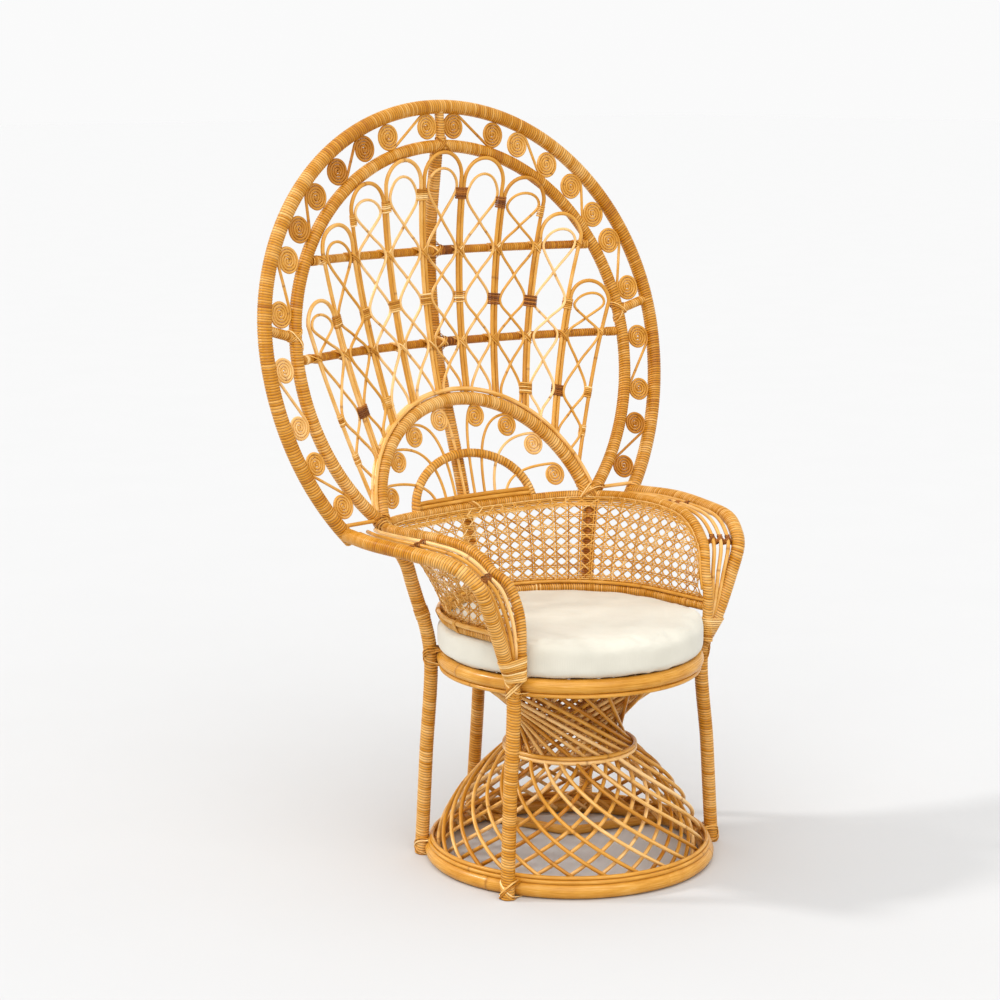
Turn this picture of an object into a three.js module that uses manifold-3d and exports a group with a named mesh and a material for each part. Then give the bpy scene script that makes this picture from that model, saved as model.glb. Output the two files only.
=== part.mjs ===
// Rattan peacock chair: a tall fan back of bent poles and canes, bucket arms with a woven cane band,
// a round cushion on an open deck, and a drum base of two layers of twisted canes.
// Millimetres, +Z up. The chair faces -Y and is the same on both sides of X = 0.
// The pedestal's axis is the Z axis while the pieces are made; the last lines centre the footprint.
import * as THREE from 'three';
import { mergeVertices } from 'three/addons/utils/BufferGeometryUtils.js';
import Module from 'manifold-3d';

const { lerp, clamp, degToRad } = THREE.MathUtils;

// Overall sizes
const CHAIR_HEIGHT = 1500; // floor to the top of the outer hoop
const BACK_LEAN = degToRad(12.3); // of the outer hoop from upright
const CLEARANCE = 0.4; // between pieces that are bound together

// Diameters of the poles and canes
const FLOOR_POLE = 32;
const SEAT_POLE = 29;
const LEG_POLE = 28;
const HOOP_POLE = 30;
const INNER_POLE = 26;
const RAIL_POLE = 20;
const FOOT_RAIL_POLE = 17;
const ARCH_POLE = 30;
const SMALL_ARCH_POLE = 15;
const CROSS_POLE = 16;
const STRUT_POLE = 16;
const SPREADER_POLE = 19;
const TRIM_CANE = 9;
const TRIM_LAP = 0.5; // of two trims bound on each other
const WAIST_POLE = 16;
const TWIST_CANE = 8;
const ARM_CANE = 7.5;
const STAKE_CANE = 9;
const LOOP_CANE = 6.5;
const SCROLL_CANE = 6;

// Facets
const LEG_SHARE = 0.28; // of a hairpin's steps, for each leg
const POLE_SIDES = 6;
const RING_SIDES = 8;
const CANE_SIDES = 4;
const FINE_SIDES = 3;
const RING_SEGMENTS = 28;
const DISC_SIDES = 8;

// Drum base
const FLOOR_RING = 276; // radius of the pole's middle
const WAIST_RING = 125;
const WAIST_HEIGHT = 229;
const SEAT_RING = 252;
const SEAT_HEIGHT = 410; // middle of the seat ring's pole
const TWIST_COUNT = 26; // canes in each layer
const LAYER_INSET = 15.5; // of the inner layer from the outer one
const LAYER_LIFT = 4;
const UPPER_TWIST = degToRad(100);
const LOWER_TWIST = degToRad(75);
const DOME_BULGE = 1.8; // 1 is a plain cone
const SPREADER_START = degToRad(95.5); // of the bowed spreader, from straight ahead
const SPREADER_END = degToRad(178);
const SPREADER_BOW = 158; // how far it reaches in from the floor ring
const SPREADER_ROUND = 0.7; // 1 is a plain sine

// Seat
const DECK_THICKNESS = 6;
const DECK_SLOTS = 8;
const DECK_SLOT = 16;
const CUSHION_HEIGHT = 68;
const CUSHION_INSET = 3; // of its side from the seat ring's outer edge
const CUSHION_CROWN = 13; // rise of the middle over the rim
const CUSHION_WAIST = 4; // how far the sides are drawn in
const CUSHION_EDGE = 24; // rounding of the upper rim
const CUSHION_FOOT = 14; // rounding of the lower rim

// Arms
const POST_ANGLE = degToRad(65); // of the front posts from straight ahead
const ARM_HEIGHT = 670; // middle of the outer arm rail at the back
const ARM_HALF_WIDTH = 405;
const ARM_FRONT = -132; // foremost line of the outer arm rails
const REAR_LEG_ANGLE = degToRad(130.7);
const REAR_LEG_OUT = 4; // of its top end, beyond the inner hoop's foot
const REAR_LEG_DROP = 12; // of its top end, below the back rail's middle
const REAR_FOOT_LAP = 8; // depth to which a rear leg is notched over the floor ring
const REAR_SEAT_LAP = 3; // and over the seat ring
const ARM_CANES = 3; // between the two rails of an arm

// Inner arm rails and back rail
const RAIL_FOOT_INSET = 5; // of the inner arm rail's foot from the front post, sideways
const RAIL_FOOT_FRONT = 17; // and to the front
const RAIL_BACK = 300; // middle of the back rail behind the pedestal's axis
const RAIL_HEIGHT = 671; // of the back rail
const RAIL_HALF_WIDTH = 304; // at the arms

// Cane band round the seat
const BAND_FOOT_RISE = 86; // from the seat ring to the foot rail
const BAND_FOOT_HEIGHT = SEAT_HEIGHT + BAND_FOOT_RISE;
const FLARE = degToRad(28); // stretch over which the foot rail's ends turn out
const BAND_REACH = degToRad(116); // each way from straight back
const BAND_COLUMNS = 17;
const BAND_ROWS = 5;
const BAND_THICKNESS = 3;
const BAND_HOLE = 0.3; // half a hole's diagonal, as a share of its cell
const BAND_HOLLOW = 10; // how far the sheet is drawn in between its two rails

// Arch that carries the lattice on the back rail
const ARCH_HALF_WIDTH = 264;
const ARCH_TOP = 892;
const SMALL_ARCH_HALF_WIDTH = 158;
const SMALL_ARCH_TOP = 780;
const ARCH_SCROLLS = [12, 33, 53, 76].map(degToRad); // from the arch's top, one half
const ARCH_DISC = 23; // radius
const ARCH_STEM_SPACING = 26; // where the scrolls rise from the back rail

// Hoops of the back
const HOOP_HALF_WIDTH = 510; // to the pole's middle
const HOOP_MID_HEIGHT = 1015; // where the hoop is widest
const HOOP_BACK = 227; // the outer hoop's plane behind the axis, at arm height
const HOOP_CLOSE = 180; // how far below the arm the outer hoop's oval would close
const HOOP_DROP = HOOP_MID_HEIGHT - ARM_HEIGHT + HOOP_CLOSE; // its lower half axis
const HOOP_SIDE_GAP = 78; // between the middles of the two hoops
const HOOP_TOP_GAP = 79;
const HOOP_MID_GAP = 15; // from the outer hoop's widest level down to the inner one's
const INNER_HALF_WIDTH = HOOP_HALF_WIDTH - HOOP_SIDE_GAP;
const INNER_MID_HEIGHT = HOOP_MID_HEIGHT - HOOP_MID_GAP;
const INNER_TOP = CHAIR_HEIGHT - HOOP_POLE / 2 - HOOP_TOP_GAP;
const INNER_CLOSE = 99; // how far below the back rail the inner hoop's oval would close
const INNER_DROP = INNER_MID_HEIGHT - RAIL_HEIGHT + INNER_CLOSE;
const INNER_SET_BACK = 12; // behind the outer hoop's plane
const STRUT_TILT = degToRad(83.2); // of the side struts from the top

// Scrolls between the hoops, in pairs of discs: parts of the free length before, between and after them
const UPPER_SCROLL_GAPS = [1, 50, 16, 30, 24, 23, 15, 52, 3]; // from the top strut to a side strut
const LOWER_SCROLL_GAPS = [38, 60, 28, 48, 28]; // from a side strut to the hoop's foot
const SCROLL_THICKNESS = 8;
const SCROLL_LAP = 1; // how far a disc is let into the hoops

// Dished lattice of the back
const DISH_DEPTH = 85;
const DISH_MID_HEIGHT = 930;
const DISH_RUN_OUT = 6; // from the dish's upper end to the inner hoop's top
const DISH_RISE = INNER_TOP - DISH_RUN_OUT - DISH_MID_HEIGHT;
const DISH_FALL = 700;
const STAKE_FAN = 0.075; // growth of the spacing for each millimetre of height
const STAKE_SPREAD = 0.002; // extra spacing towards the sides
const STAKE_BAYS = 4; // bays on each side of the middle one
const STAKE_MARGIN = 0.91; // from the last bay to the inner hoop's side, in bays
const STAKE_SPACING = INNER_HALF_WIDTH / (STAKE_BAYS + STAKE_MARGIN); // at the middle ties
const latticeRow = (share) => lerp(ARCH_TOP, INNER_TOP, share);
const TOP_TIE_HEIGHT = latticeRow(0.817);
const UPPER_CROSS_HEIGHT = latticeRow(0.584);
const MIDDLE_TIE_HEIGHT = latticeRow(0.389);
const LOWER_CROSS_HEIGHT = latticeRow(0.218);
const LOW_TIE_HEIGHT = latticeRow(0.054);
const FOOT_TIE_HEIGHT = lerp(RAIL_HEIGHT, ARCH_TOP, 0.584);
const TOP_TIE_SLOPE = 0.25; // drop of a row of ties for each millimetre sideways
const TIE_SLOPE = 0.1;
const LOOP_GAP = 3; // between a loop and the stakes of its bay
const LOOP_DROP = 24; // from the top of a stake to the top of the loop inside it

const wasm = await Module();
wasm.setup();
const point = (x, y, z) => new THREE.Vector3(x, y, z);
const polar = (radius, angle, z) => point(radius * Math.sin(angle), -radius * Math.cos(angle), z);
const mirrored = (p) => point(-p.x, p.y, p.z);

/** A route through space, placed by a formula of t from 0 to 1. */
class Route extends THREE.Curve {
  constructor(place) {
    super();
    this.place = place;
  }

  getPoint(t, target = new THREE.Vector3()) {
    return target.copy(this.place(t));
  }

  getUtoTmapping(u) {
    return u; // steps follow the formula, not the length
  }
}

const through = (points) => new THREE.CatmullRomCurve3(points, false, 'centripetal');
const mirroredRoute = (route) => new Route((t) => mirrored(route.getPointAt(t)));

/** A closed geometry as a solid that can be joined and cut. */
function solidOf(geometry) {
  const bare = geometry.index ? geometry.clone() : geometry;
  bare.deleteAttribute('normal');
  bare.deleteAttribute('uv');
  const merged = mergeVertices(bare, 1e-4);
  const mesh = new wasm.Mesh({
    numProp: 3,
    vertProperties: Float32Array.from(merged.attributes.position.array),
    triVerts: Uint32Array.from(merged.index.array),
  });
  return new wasm.Manifold(mesh);
}

function geometryOf(solid) {
  const mesh = solid.getMesh();
  const geometry = new THREE.BufferGeometry();
  geometry.setAttribute('position', new THREE.BufferAttribute(mesh.vertProperties, 3));
  geometry.setIndex(new THREE.BufferAttribute(mesh.triVerts, 1));
  geometry.computeVertexNormals();
  return geometry;
}

/** A rod of many-sided section along a route. */
function sweep(route, diameter, sides, steps) {
  const corners = [];
  for (let i = 0; i < sides; i += 1) {
    const angle = (2 * Math.PI * i) / sides;
    corners.push(new THREE.Vector2(Math.cos(angle), Math.sin(angle)).multiplyScalar(diameter / 2));
  }
  const options = { steps, extrudePath: route, bevelEnabled: false };
  return solidOf(new THREE.ExtrudeGeometry(new THREE.Shape(corners), options));
}

/** A rod and the room that its neighbours keep free for it. */
function pole(route, diameter, sides, steps) {
  return {
    route,
    solid: sweep(route, diameter, sides, steps),
    room: sweep(route, diameter + 2 * CLEARANCE, sides, steps),
  };
}

/** A solid with the room of its neighbours cut away, as a pole is coped onto another; offcuts drop away. */
function coped(solid, ...neighbours) {
  const rest = neighbours.reduce((left, other) => left.subtract(other.room), solid);
  return rest.decompose().reduce((big, piece) => (piece.volume() > big.volume() ? piece : big));
}

/** A ring turned about the Z axis from a section of sides round a centre, with a flat side below. */
function ring(radius, height, diameter, sides) {
  const turn = (grow) => {
    const section = [];
    for (let i = 0; i <= sides; i += 1) {
      const angle = (2 * Math.PI * (i + 0.5)) / sides - Math.PI / 2;
      const reach = diameter / 2 + grow;
      section.push(new THREE.Vector2(radius + reach * Math.cos(angle), height + reach * Math.sin(angle)));
    }
    section[sides].copy(section[0]);
    return solidOf(new THREE.LatheGeometry(section, RING_SEGMENTS).rotateX(Math.PI / 2));
  };
  return { solid: turn(0), room: turn(CLEARANCE) };
}

/** A round disc that faces along a direction. */
function disc(centre, direction, radius, thickness, sides) {
  const geometry = new THREE.CylinderGeometry(radius, radius, thickness, sides);
  const turn = new THREE.Quaternion().setFromUnitVectors(point(0, 1, 0), direction);
  return solidOf(geometry.applyQuaternion(turn).translate(centre.x, centre.y, centre.z));
}

const cutterSize = 2 * CHAIR_HEIGHT;
const FLOOR_CUTTER = solidOf(
  new THREE.BoxGeometry(cutterSize, cutterSize, cutterSize).translate(0, 0, -cutterSize / 2)
);
const standing = (solid) => solid.subtract(FLOOR_CUTTER);

// Finishes
const finish = (color, roughness) => new THREE.MeshStandardMaterial({ color, roughness, metalness: 0 });
const WRAPPED = finish(0xd1974c, 0.5);
const BARE = finish(0xdfae66, 0.4);
const WOVEN = finish(0xd9a24e, 0.55);
const CLOTH = finish(0xf3efe8, 0.9);

const chair = new THREE.Group();
function add(name, solid, material) {
  const mesh = new THREE.Mesh(geometryOf(solid), material.clone());
  mesh.name = name;
  chair.add(mesh);
}

// Surfaces of the back
const hoopPlane = (z) => HOOP_BACK + (z - ARM_HEIGHT) * Math.tan(BACK_LEAN);
const hoopNormal = point(0, Math.cos(BACK_LEAN), -Math.sin(BACK_LEAN));

/** Point of the dished lattice at a place sideways and a height, moved back by some depth. */
function lattice(u, z, depth = 0) {
  const fall = z > DISH_MID_HEIGHT ? DISH_RISE : DISH_FALL;
  const hollow = 1 - (u / INNER_HALF_WIDTH) ** 2 - ((z - DISH_MID_HEIGHT) / fall) ** 2;
  return point(u, hoopPlane(z) + DISH_DEPTH * Math.max(0, hollow) + depth, z);
}

function latticeNormal(u, z) {
  const across = lattice(u + 1, z).sub(lattice(u - 1, z));
  const upward = lattice(u, z + 1).sub(lattice(u, z - 1));
  return upward.cross(across).normalize();
}

// Base rings
const flatHeight = (diameter, sides) => diameter * Math.cos(Math.PI / sides); // of a section on its flat
const floorTop = flatHeight(FLOOR_POLE, RING_SIDES);
const floorRing = ring(FLOOR_RING, floorTop / 2, FLOOR_POLE, RING_SIDES);
add('floor_ring', floorRing.solid, BARE);
const trimHeight = flatHeight(TRIM_CANE, CANE_SIDES);
const floorTrims = [0, 1].map((layer) => {
  const height = floorTop + CLEARANCE + trimHeight / 2 + layer * (trimHeight - TRIM_LAP);
  return ring(FLOOR_RING + TRIM_CANE / 2, height, TRIM_CANE, CANE_SIDES);
});
add('floor_trim', floorTrims[0].solid.add(floorTrims[1].solid), BARE);
const seatRing = ring(SEAT_RING, SEAT_HEIGHT, SEAT_POLE, RING_SIDES);
add('seat_ring', seatRing.solid, BARE);
const seatThickness = flatHeight(SEAT_POLE, RING_SIDES);
const seatTrimHeight = SEAT_HEIGHT - (seatThickness + trimHeight) / 2 - CLEARANCE;
const seatTrim = ring(SEAT_RING + TRIM_CANE / 2, seatTrimHeight, TRIM_CANE, CANE_SIDES);
add('seat_trim', seatTrim.solid, BARE);

/**
 * The two stretches of a twisted cane of the drum: straight to the waist, then over the dome.
 * A layer set in from the outer one also lies a little higher above the waist and lower below it.
 */
function twistStretches(start, hand, inset, lift) {
  const waistRadius = WAIST_RING - inset;
  const footRadius = FLOOR_RING - TWIST_CANE - inset;
  const head = polar(SEAT_RING - TWIST_CANE / 2 - inset, start, SEAT_HEIGHT + lift);
  const waist = polar(waistRadius, start + hand * UPPER_TWIST, WAIST_HEIGHT + lift);
  const dome = new Route((t) => {
    const radius = lerp(waistRadius, footRadius, 1 - (1 - t) ** DOME_BULGE);
    const turn = start + hand * (UPPER_TWIST + LOWER_TWIST * t);
    return polar(radius, turn, lerp(WAIST_HEIGHT - lift, floorTop / 2, t));
  });
  const straight = new THREE.LineCurve3(head, waist);
  return [sweep(straight, TWIST_CANE, FINE_SIDES, 1), sweep(dome, TWIST_CANE, FINE_SIDES, 4)];
}

function twistLayer(hand, inset, lift) {
  let layer = ring(WAIST_RING - inset, WAIST_HEIGHT, WAIST_POLE, CANE_SIDES).solid;
  for (let i = 0; i < TWIST_COUNT; i += 1) {
    const [straight, dome] = twistStretches((2 * Math.PI * i) / TWIST_COUNT, hand, inset, lift);
    layer = layer.add(straight).add(dome);
  }
  return coped(layer, floorRing, seatRing);
}
add('drum_canes_outer', twistLayer(1, 0, 0), BARE);
add('drum_canes_inner', twistLayer(-1, LAYER_INSET, LAYER_LIFT), BARE);

// Bowed spreader on the floor inside the ring, from its left side to the rear
const spreaderRoute = new Route((t) => {
  const bow = SPREADER_BOW * Math.sin(Math.PI * t) ** SPREADER_ROUND;
  return polar(FLOOR_RING - bow, lerp(SPREADER_START, SPREADER_END, t), SPREADER_POLE / 2);
});
const spreader = sweep(spreaderRoute, SPREADER_POLE, POLE_SIDES, 8);
add('floor_spreader', standing(coped(spreader, floorRing)), BARE);

// Seat deck with slots round its rim, and the cushion on it
const seatTop = SEAT_HEIGHT + seatThickness / 2;
function seatDeck() {
  const plate = new THREE.CylinderGeometry(SEAT_RING, SEAT_RING, DECK_THICKNESS, RING_SEGMENTS);
  let deck = solidOf(plate.rotateX(Math.PI / 2).translate(0, 0, seatTop - DECK_THICKNESS / 2));
  deck = coped(deck, seatRing);
  for (let i = 0; i < DECK_SLOTS; i += 1) {
    const slot = new THREE.BoxGeometry(DECK_SLOT, DECK_SLOT, 2 * DECK_THICKNESS);
    slot.translate(SEAT_RING - SEAT_POLE / 2 - DECK_SLOT, 0, seatTop - DECK_THICKNESS / 2);
    deck = deck.subtract(solidOf(slot.rotateZ((2 * Math.PI * i) / DECK_SLOTS)));
  }
  return deck;
}
add('seat_deck', seatDeck(), WOVEN);

const cushionRadius = SEAT_RING + SEAT_POLE / 2 - CUSHION_INSET;
function cushion() {
  const base = seatTop + CLEARANCE;
  const rim = CUSHION_HEIGHT - CUSHION_CROWN;
  const outline = [new THREE.Vector2(0, base)];
  const round = (centre, from, to, radius, count) => {
    for (let i = 0; i <= count; i += 1) {
      const angle = lerp(from, to, i / count);
      const x = cushionRadius - radius + radius * Math.cos(angle);
      outline.push(new THREE.Vector2(x, base + centre + radius * Math.sin(angle)));
    }
  };
  round(CUSHION_FOOT, -Math.PI / 2, 0, CUSHION_FOOT, 3);
  const drawnIn = (CUSHION_FOOT + rim - CUSHION_EDGE) / 2;
  outline.push(new THREE.Vector2(cushionRadius - CUSHION_WAIST, base + drawnIn));
  round(rim - CUSHION_EDGE, 0, Math.PI / 2, CUSHION_EDGE, 4);
  const flat = cushionRadius - CUSHION_EDGE;
  for (let i = 3; i >= 0; i -= 1) {
    const share = i / 4;
    outline.push(new THREE.Vector2(flat * share, base + rim + CUSHION_CROWN * (1 - share ** 2)));
  }
  return solidOf(new THREE.LatheGeometry(outline, RING_SEGMENTS).rotateX(Math.PI / 2));
}
add('cushion', cushion(), CLOTH);

// Hoops of the back: half an ellipse over the widest height and part of a longer one below it
const OUTER = {
  half: HOOP_HALF_WIDTH,
  mid: HOOP_MID_HEIGHT,
  rise: CHAIR_HEIGHT - HOOP_POLE / 2 - HOOP_MID_HEIGHT,
  drop: HOOP_DROP,
  back: 0,
};
const INNER = {
  half: INNER_HALF_WIDTH,
  mid: INNER_MID_HEIGHT,
  rise: INNER_TOP - INNER_MID_HEIGHT,
  drop: INNER_DROP,
  back: INNER_SET_BACK,
};
function hoopPoint(hoop, angle) {
  const z = hoop.mid + Math.cos(angle) * (Math.cos(angle) > 0 ? hoop.rise : hoop.drop);
  return point(hoop.half * Math.sin(angle), hoopPlane(z) + hoop.back, z);
}
function hoopRoute(hoop, footHeight) {
  const end = Math.acos((footHeight - hoop.mid) / hoop.drop);
  return new Route((t) => hoopPoint(hoop, lerp(-end, end, t)));
}
const outerHoop = pole(hoopRoute(OUTER, ARM_HEIGHT - LEG_POLE / 2), HOOP_POLE, POLE_SIDES, 32);
const innerRoute = hoopRoute(INNER, RAIL_HEIGHT);
const outerFoot = hoopPoint(OUTER, Math.acos((ARM_HEIGHT - OUTER.mid) / OUTER.drop));
const innerFoot = innerRoute.getPoint(1);
add('outer_hoop', outerHoop.solid, WRAPPED);

// Front posts, each one pole from the floor up and over as the outer arm rail
const postRadius = (LEG_POLE / 2) + CLEARANCE;
const postFoot = polar(FLOOR_RING + FLOOR_POLE / 2 + postRadius, POST_ANGLE, -LEG_POLE);
const postSeat = polar(SEAT_RING + SEAT_POLE / 2 + postRadius, POST_ANGLE, SEAT_HEIGHT);
function armPoint(out, back, up) {
  const x = lerp(postSeat.x, ARM_HALF_WIDTH, out);
  return point(x, lerp(ARM_FRONT, outerFoot.y, back), lerp(SEAT_HEIGHT, ARM_HEIGHT, up));
}
const postRoute = through([
  postFoot,
  postFoot.clone().lerp(postSeat, 0.5),
  postSeat,
  armPoint(0.19, 0.01, 0.23),
  armPoint(0.42, 0, 0.54),
  armPoint(0.59, 0.01, 0.77),
  armPoint(0.68, 0.07, 0.87),
  armPoint(0.79, 0.17, 0.94),
  armPoint(0.92, 0.42, 0.98),
  armPoint(1, 0.7, 1),
  outerFoot,
]);
const postLeft = pole(postRoute, LEG_POLE, POLE_SIDES, 24);
const postRight = pole(mirroredRoute(postRoute), LEG_POLE, POLE_SIDES, 24);
const fitPost = (post) => standing(coped(post.solid, outerHoop, floorRing, seatRing));
add('front_post_left', fitPost(postLeft), WRAPPED);
add('front_post_right', fitPost(postRight), WRAPPED);

// Inner arm rail and back rail: one pole from the foot of one arm round the back to the other
const railSide = postSeat.clone().add(point(-RAIL_FOOT_INSET, -RAIL_FOOT_FRONT, 0));
function railPoint(out, back, up) {
  const x = lerp(railSide.x, RAIL_HALF_WIDTH, out);
  return point(x, lerp(railSide.y, RAIL_BACK, back), lerp(SEAT_HEIGHT, RAIL_HEIGHT, up));
}
const railHalf = [
  railPoint(0, 0, 0.085),
  railPoint(0, 0, 0.46),
  railPoint(0.04, 0.02, 0.61),
  railPoint(0.25, 0.055, 0.77),
  railPoint(0.49, 0.108, 0.84),
  railPoint(0.6, 0.163, 0.92),
  railPoint(0.7, 0.243, 0.985),
  railPoint(0.87, 0.404, 1.02),
  railPoint(1, 0.587, 1.02),
  railPoint(0.92, 0.748, 1.01),
  innerFoot,
  point(innerFoot.x * 0.83, lerp(innerFoot.y, RAIL_BACK, 0.55), RAIL_HEIGHT),
  point(innerFoot.x * 0.5, lerp(innerFoot.y, RAIL_BACK, 0.85), RAIL_HEIGHT),
];
const railMiddle = point(0, RAIL_BACK, RAIL_HEIGHT);
const railRoute = through([...railHalf, railMiddle, ...railHalf.toReversed().map(mirrored)]);
const rail = pole(railRoute, RAIL_POLE, POLE_SIDES, 42);
add('arm_back_rail', coped(rail.solid, postLeft, postRight, seatRing), WRAPPED);
const innerHoop = pole(innerRoute, INNER_POLE, POLE_SIDES, 32);
add('inner_hoop', coped(innerHoop.solid, rail), WRAPPED);

// Rear legs from the floor, behind the cane band, to the feet of the inner hoop
const legFoot = polar(FLOOR_RING + FLOOR_POLE / 2 + postRadius - REAR_FOOT_LAP, REAR_LEG_ANGLE, -LEG_POLE);
const legSeat = polar(SEAT_RING + SEAT_POLE / 2 + postRadius - REAR_SEAT_LAP, REAR_LEG_ANGLE, SEAT_HEIGHT);
const legReach = Math.hypot(innerFoot.x, innerFoot.y) + REAR_LEG_OUT;
const legTop = point(innerFoot.x, innerFoot.y, 0).setLength(legReach).setZ(RAIL_HEIGHT - REAR_LEG_DROP);
const legPoint = (along, up) => legSeat.clone().lerp(legTop, along).setZ(lerp(legSeat.z, legTop.z, up));
const legRoute = through([
  legFoot,
  legFoot.clone().lerp(legSeat, 0.5),
  legSeat,
  legPoint(0.13, 0.28),
  legPoint(0.27, 0.44),
  legPoint(0.4, 0.6),
  legPoint(0.53, 0.76),
  legPoint(0.8, 0.92),
  legTop,
]);
for (const [side, route] of [['left', legRoute], ['right', mirroredRoute(legRoute)]]) {
  const leg = sweep(route, LEG_POLE, POLE_SIDES, 14);
  const fitted = coped(leg, rail, innerHoop, floorRing, ...floorTrims, seatRing, seatTrim);
  add(`rear_leg_${side}`, standing(fitted), WRAPPED);
}

// Canes that fill each arm between its two rails, bound together at the bend
const armSpan = { from: 0.47, to: 0.985 }; // part of the post's length that is the arm
const railSpan = { from: 0.03, to: 0.33 }; // part of the rail's length along one arm
const caneSpan = { from: 0.17, to: 0.97 }; // part of that stretch which the canes fill
const caneShare = { first: 0.3, last: 0.72 }; // from the inner rail to the outer one
const armBend = 0.36; // where the canes are bound
function armCanes(hand) {
  const place = (share, t) => {
    const outside = postRoute.getPointAt(lerp(armSpan.from, armSpan.to, t));
    const inside = railRoute.getPointAt(lerp(railSpan.from, railSpan.to, t));
    const spot = inside.lerp(outside, share);
    return hand > 0 ? spot : mirrored(spot);
  };
  const binding = new THREE.LineCurve3(place(0.15, armBend), place(0.85, armBend));
  let canes = sweep(binding, ARM_CANE, CANE_SIDES, 1);
  for (let i = 0; i < ARM_CANES; i += 1) {
    const share = lerp(caneShare.first, caneShare.last, i / (ARM_CANES - 1));
    const route = new Route((t) => place(share, lerp(caneSpan.from, caneSpan.to, t)));
    canes = canes.add(sweep(route, ARM_CANE, FINE_SIDES, 9));
  }
  return canes;
}
add('arm_canes_left', coped(armCanes(1), postLeft, rail, outerHoop), BARE);
add('arm_canes_right', coped(armCanes(-1), postRight, rail, outerHoop), BARE);

// Foot rail of the cane band, which lies on the cushion's rim and turns out to the arms at its ends
const railFootAngle = Math.atan2(railSide.x, -railSide.y);
const railFootRadius = Math.hypot(railSide.x, railSide.y);
function footRadius(angle) {
  const end = Math.min(angle, 2 * Math.PI - angle) - railFootAngle;
  return lerp(SEAT_RING, railFootRadius, clamp(1 - end / FLARE, 0, 1) ** 2);
}
const footRoute = new Route((t) => {
  const angle = lerp(railFootAngle, 2 * Math.PI - railFootAngle, t);
  return polar(footRadius(angle), angle, BAND_FOOT_HEIGHT);
});
const footRail = pole(footRoute, FOOT_RAIL_POLE, POLE_SIDES, 22);
add('band_foot_rail', coped(footRail.solid, rail, postLeft, postRight), WRAPPED);

// Woven cane band: one sheet of square cells, each with a hole turned through 45 degrees
function railAt(angle) {
  const behind = (t) => {
    const p = railRoute.getPoint(t);
    return Math.atan2(p.x, p.y);
  };
  let low = 0;
  let high = 1;
  for (let i = 0; i < 40; i += 1) {
    const t = (low + high) / 2;
    [low, high] = behind(t) > angle ? [t, high] : [low, t];
  }
  const spot = railRoute.getPoint(low);
  const inward = RAIL_POLE / 2 + BAND_THICKNESS / 2 + 2 * CLEARANCE;
  return spot.sub(point(spot.x, spot.y, 0).setLength(inward));
}

function caneBand() {
  const columns = BAND_COLUMNS;
  const rows = BAND_ROWS;
  const heads = [];
  for (let i = 0; i <= columns; i += 1) {
    heads.push(railAt(lerp(-BAND_REACH, BAND_REACH, i / columns)));
  }
  const foot = BAND_FOOT_HEIGHT + FOOT_RAIL_POLE / 2 + CLEARANCE;
  const spot = (i, j) => {
    const near = Math.min(Math.floor(i), columns - 1);
    const head = heads[near].clone().lerp(heads[near + 1], i - near);
    const out = point(head.x, head.y, 0).normalize();
    const base = out.clone().setLength(footRadius(Math.atan2(Math.abs(head.x), -head.y))).setZ(foot);
    const share = j / rows;
    return base.lerp(head, share).sub(out.setLength(4 * BAND_HOLLOW * share * (1 - share)));
  };
  const vertices = [];
  const triangles = [];
  const corner = (i, j, side) => {
    const p = spot(i, j);
    const out = point(p.x, p.y, 0).setLength((side * BAND_THICKNESS) / 2);
    p.add(out);
    vertices.push(p.x, p.y, p.z);
    return vertices.length / 3 - 1;
  };
  const quad = (a, b, c, d) => triangles.push(a, b, c, a, c, d);
  const around = [[0, 0], [1, 0], [1, 1], [0, 1]];
  const turned = [[0, -1], [1, 0], [0, 1], [-1, 0]];
  const hole = turned.map(([x, y]) => [0.5 + BAND_HOLE * x, 0.5 + BAND_HOLE * y]);
  for (let i = 0; i < columns; i += 1) {
    for (let j = 0; j < rows; j += 1) {
      const face = (shape, side) => shape.map(([x, y]) => corner(i + x, j + y, side));
      const [outer, outerHole] = [face(around, 1), face(hole, 1)];
      const [inner, innerHole] = [face(around, -1), face(hole, -1)];
      for (let k = 0; k < 4; k += 1) {
        const next = (k + 1) % 4;
        triangles.push(outer[k], outerHole[k], outer[next], outer[next], outerHole[k], outerHole[next]);
        triangles.push(inner[k], inner[next], innerHole[k], inner[next], innerHole[next], innerHole[k]);
        quad(outerHole[k], innerHole[k], innerHole[next], outerHole[next]);
      }
      const edges = [j === 0, i === columns - 1, j === rows - 1, i === 0];
      edges.forEach((open, k) => {
        const next = (k + 1) % 4;
        if (open) quad(outer[k], outer[next], inner[next], inner[k]);
      });
    }
  }
  const geometry = new THREE.BufferGeometry();
  geometry.setAttribute('position', new THREE.Float32BufferAttribute(vertices, 3));
  geometry.setIndex(triangles);
  return solidOf(geometry);
}
add('cane_band', caneBand(), WOVEN);

// Struts and scrolls between the hoops
const between = (angle, share) => hoopPoint(INNER, angle).lerp(hoopPoint(OUTER, angle), share);
for (const [side, angle] of [['top', 0], ['left', STRUT_TILT], ['right', -STRUT_TILT]]) {
  const route = new THREE.LineCurve3(between(angle, 0), between(angle, 1));
  add(`hoop_strut_${side}`, coped(sweep(route, STRUT_POLE, POLE_SIDES, 1), innerHoop, outerHoop), WRAPPED);
}

function discRadius(angle) {
  const gap = between(angle, 0).distanceTo(between(angle, 1));
  return (gap - (HOOP_POLE + INNER_POLE) / 2) / 2 + SCROLL_LAP;
}

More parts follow.
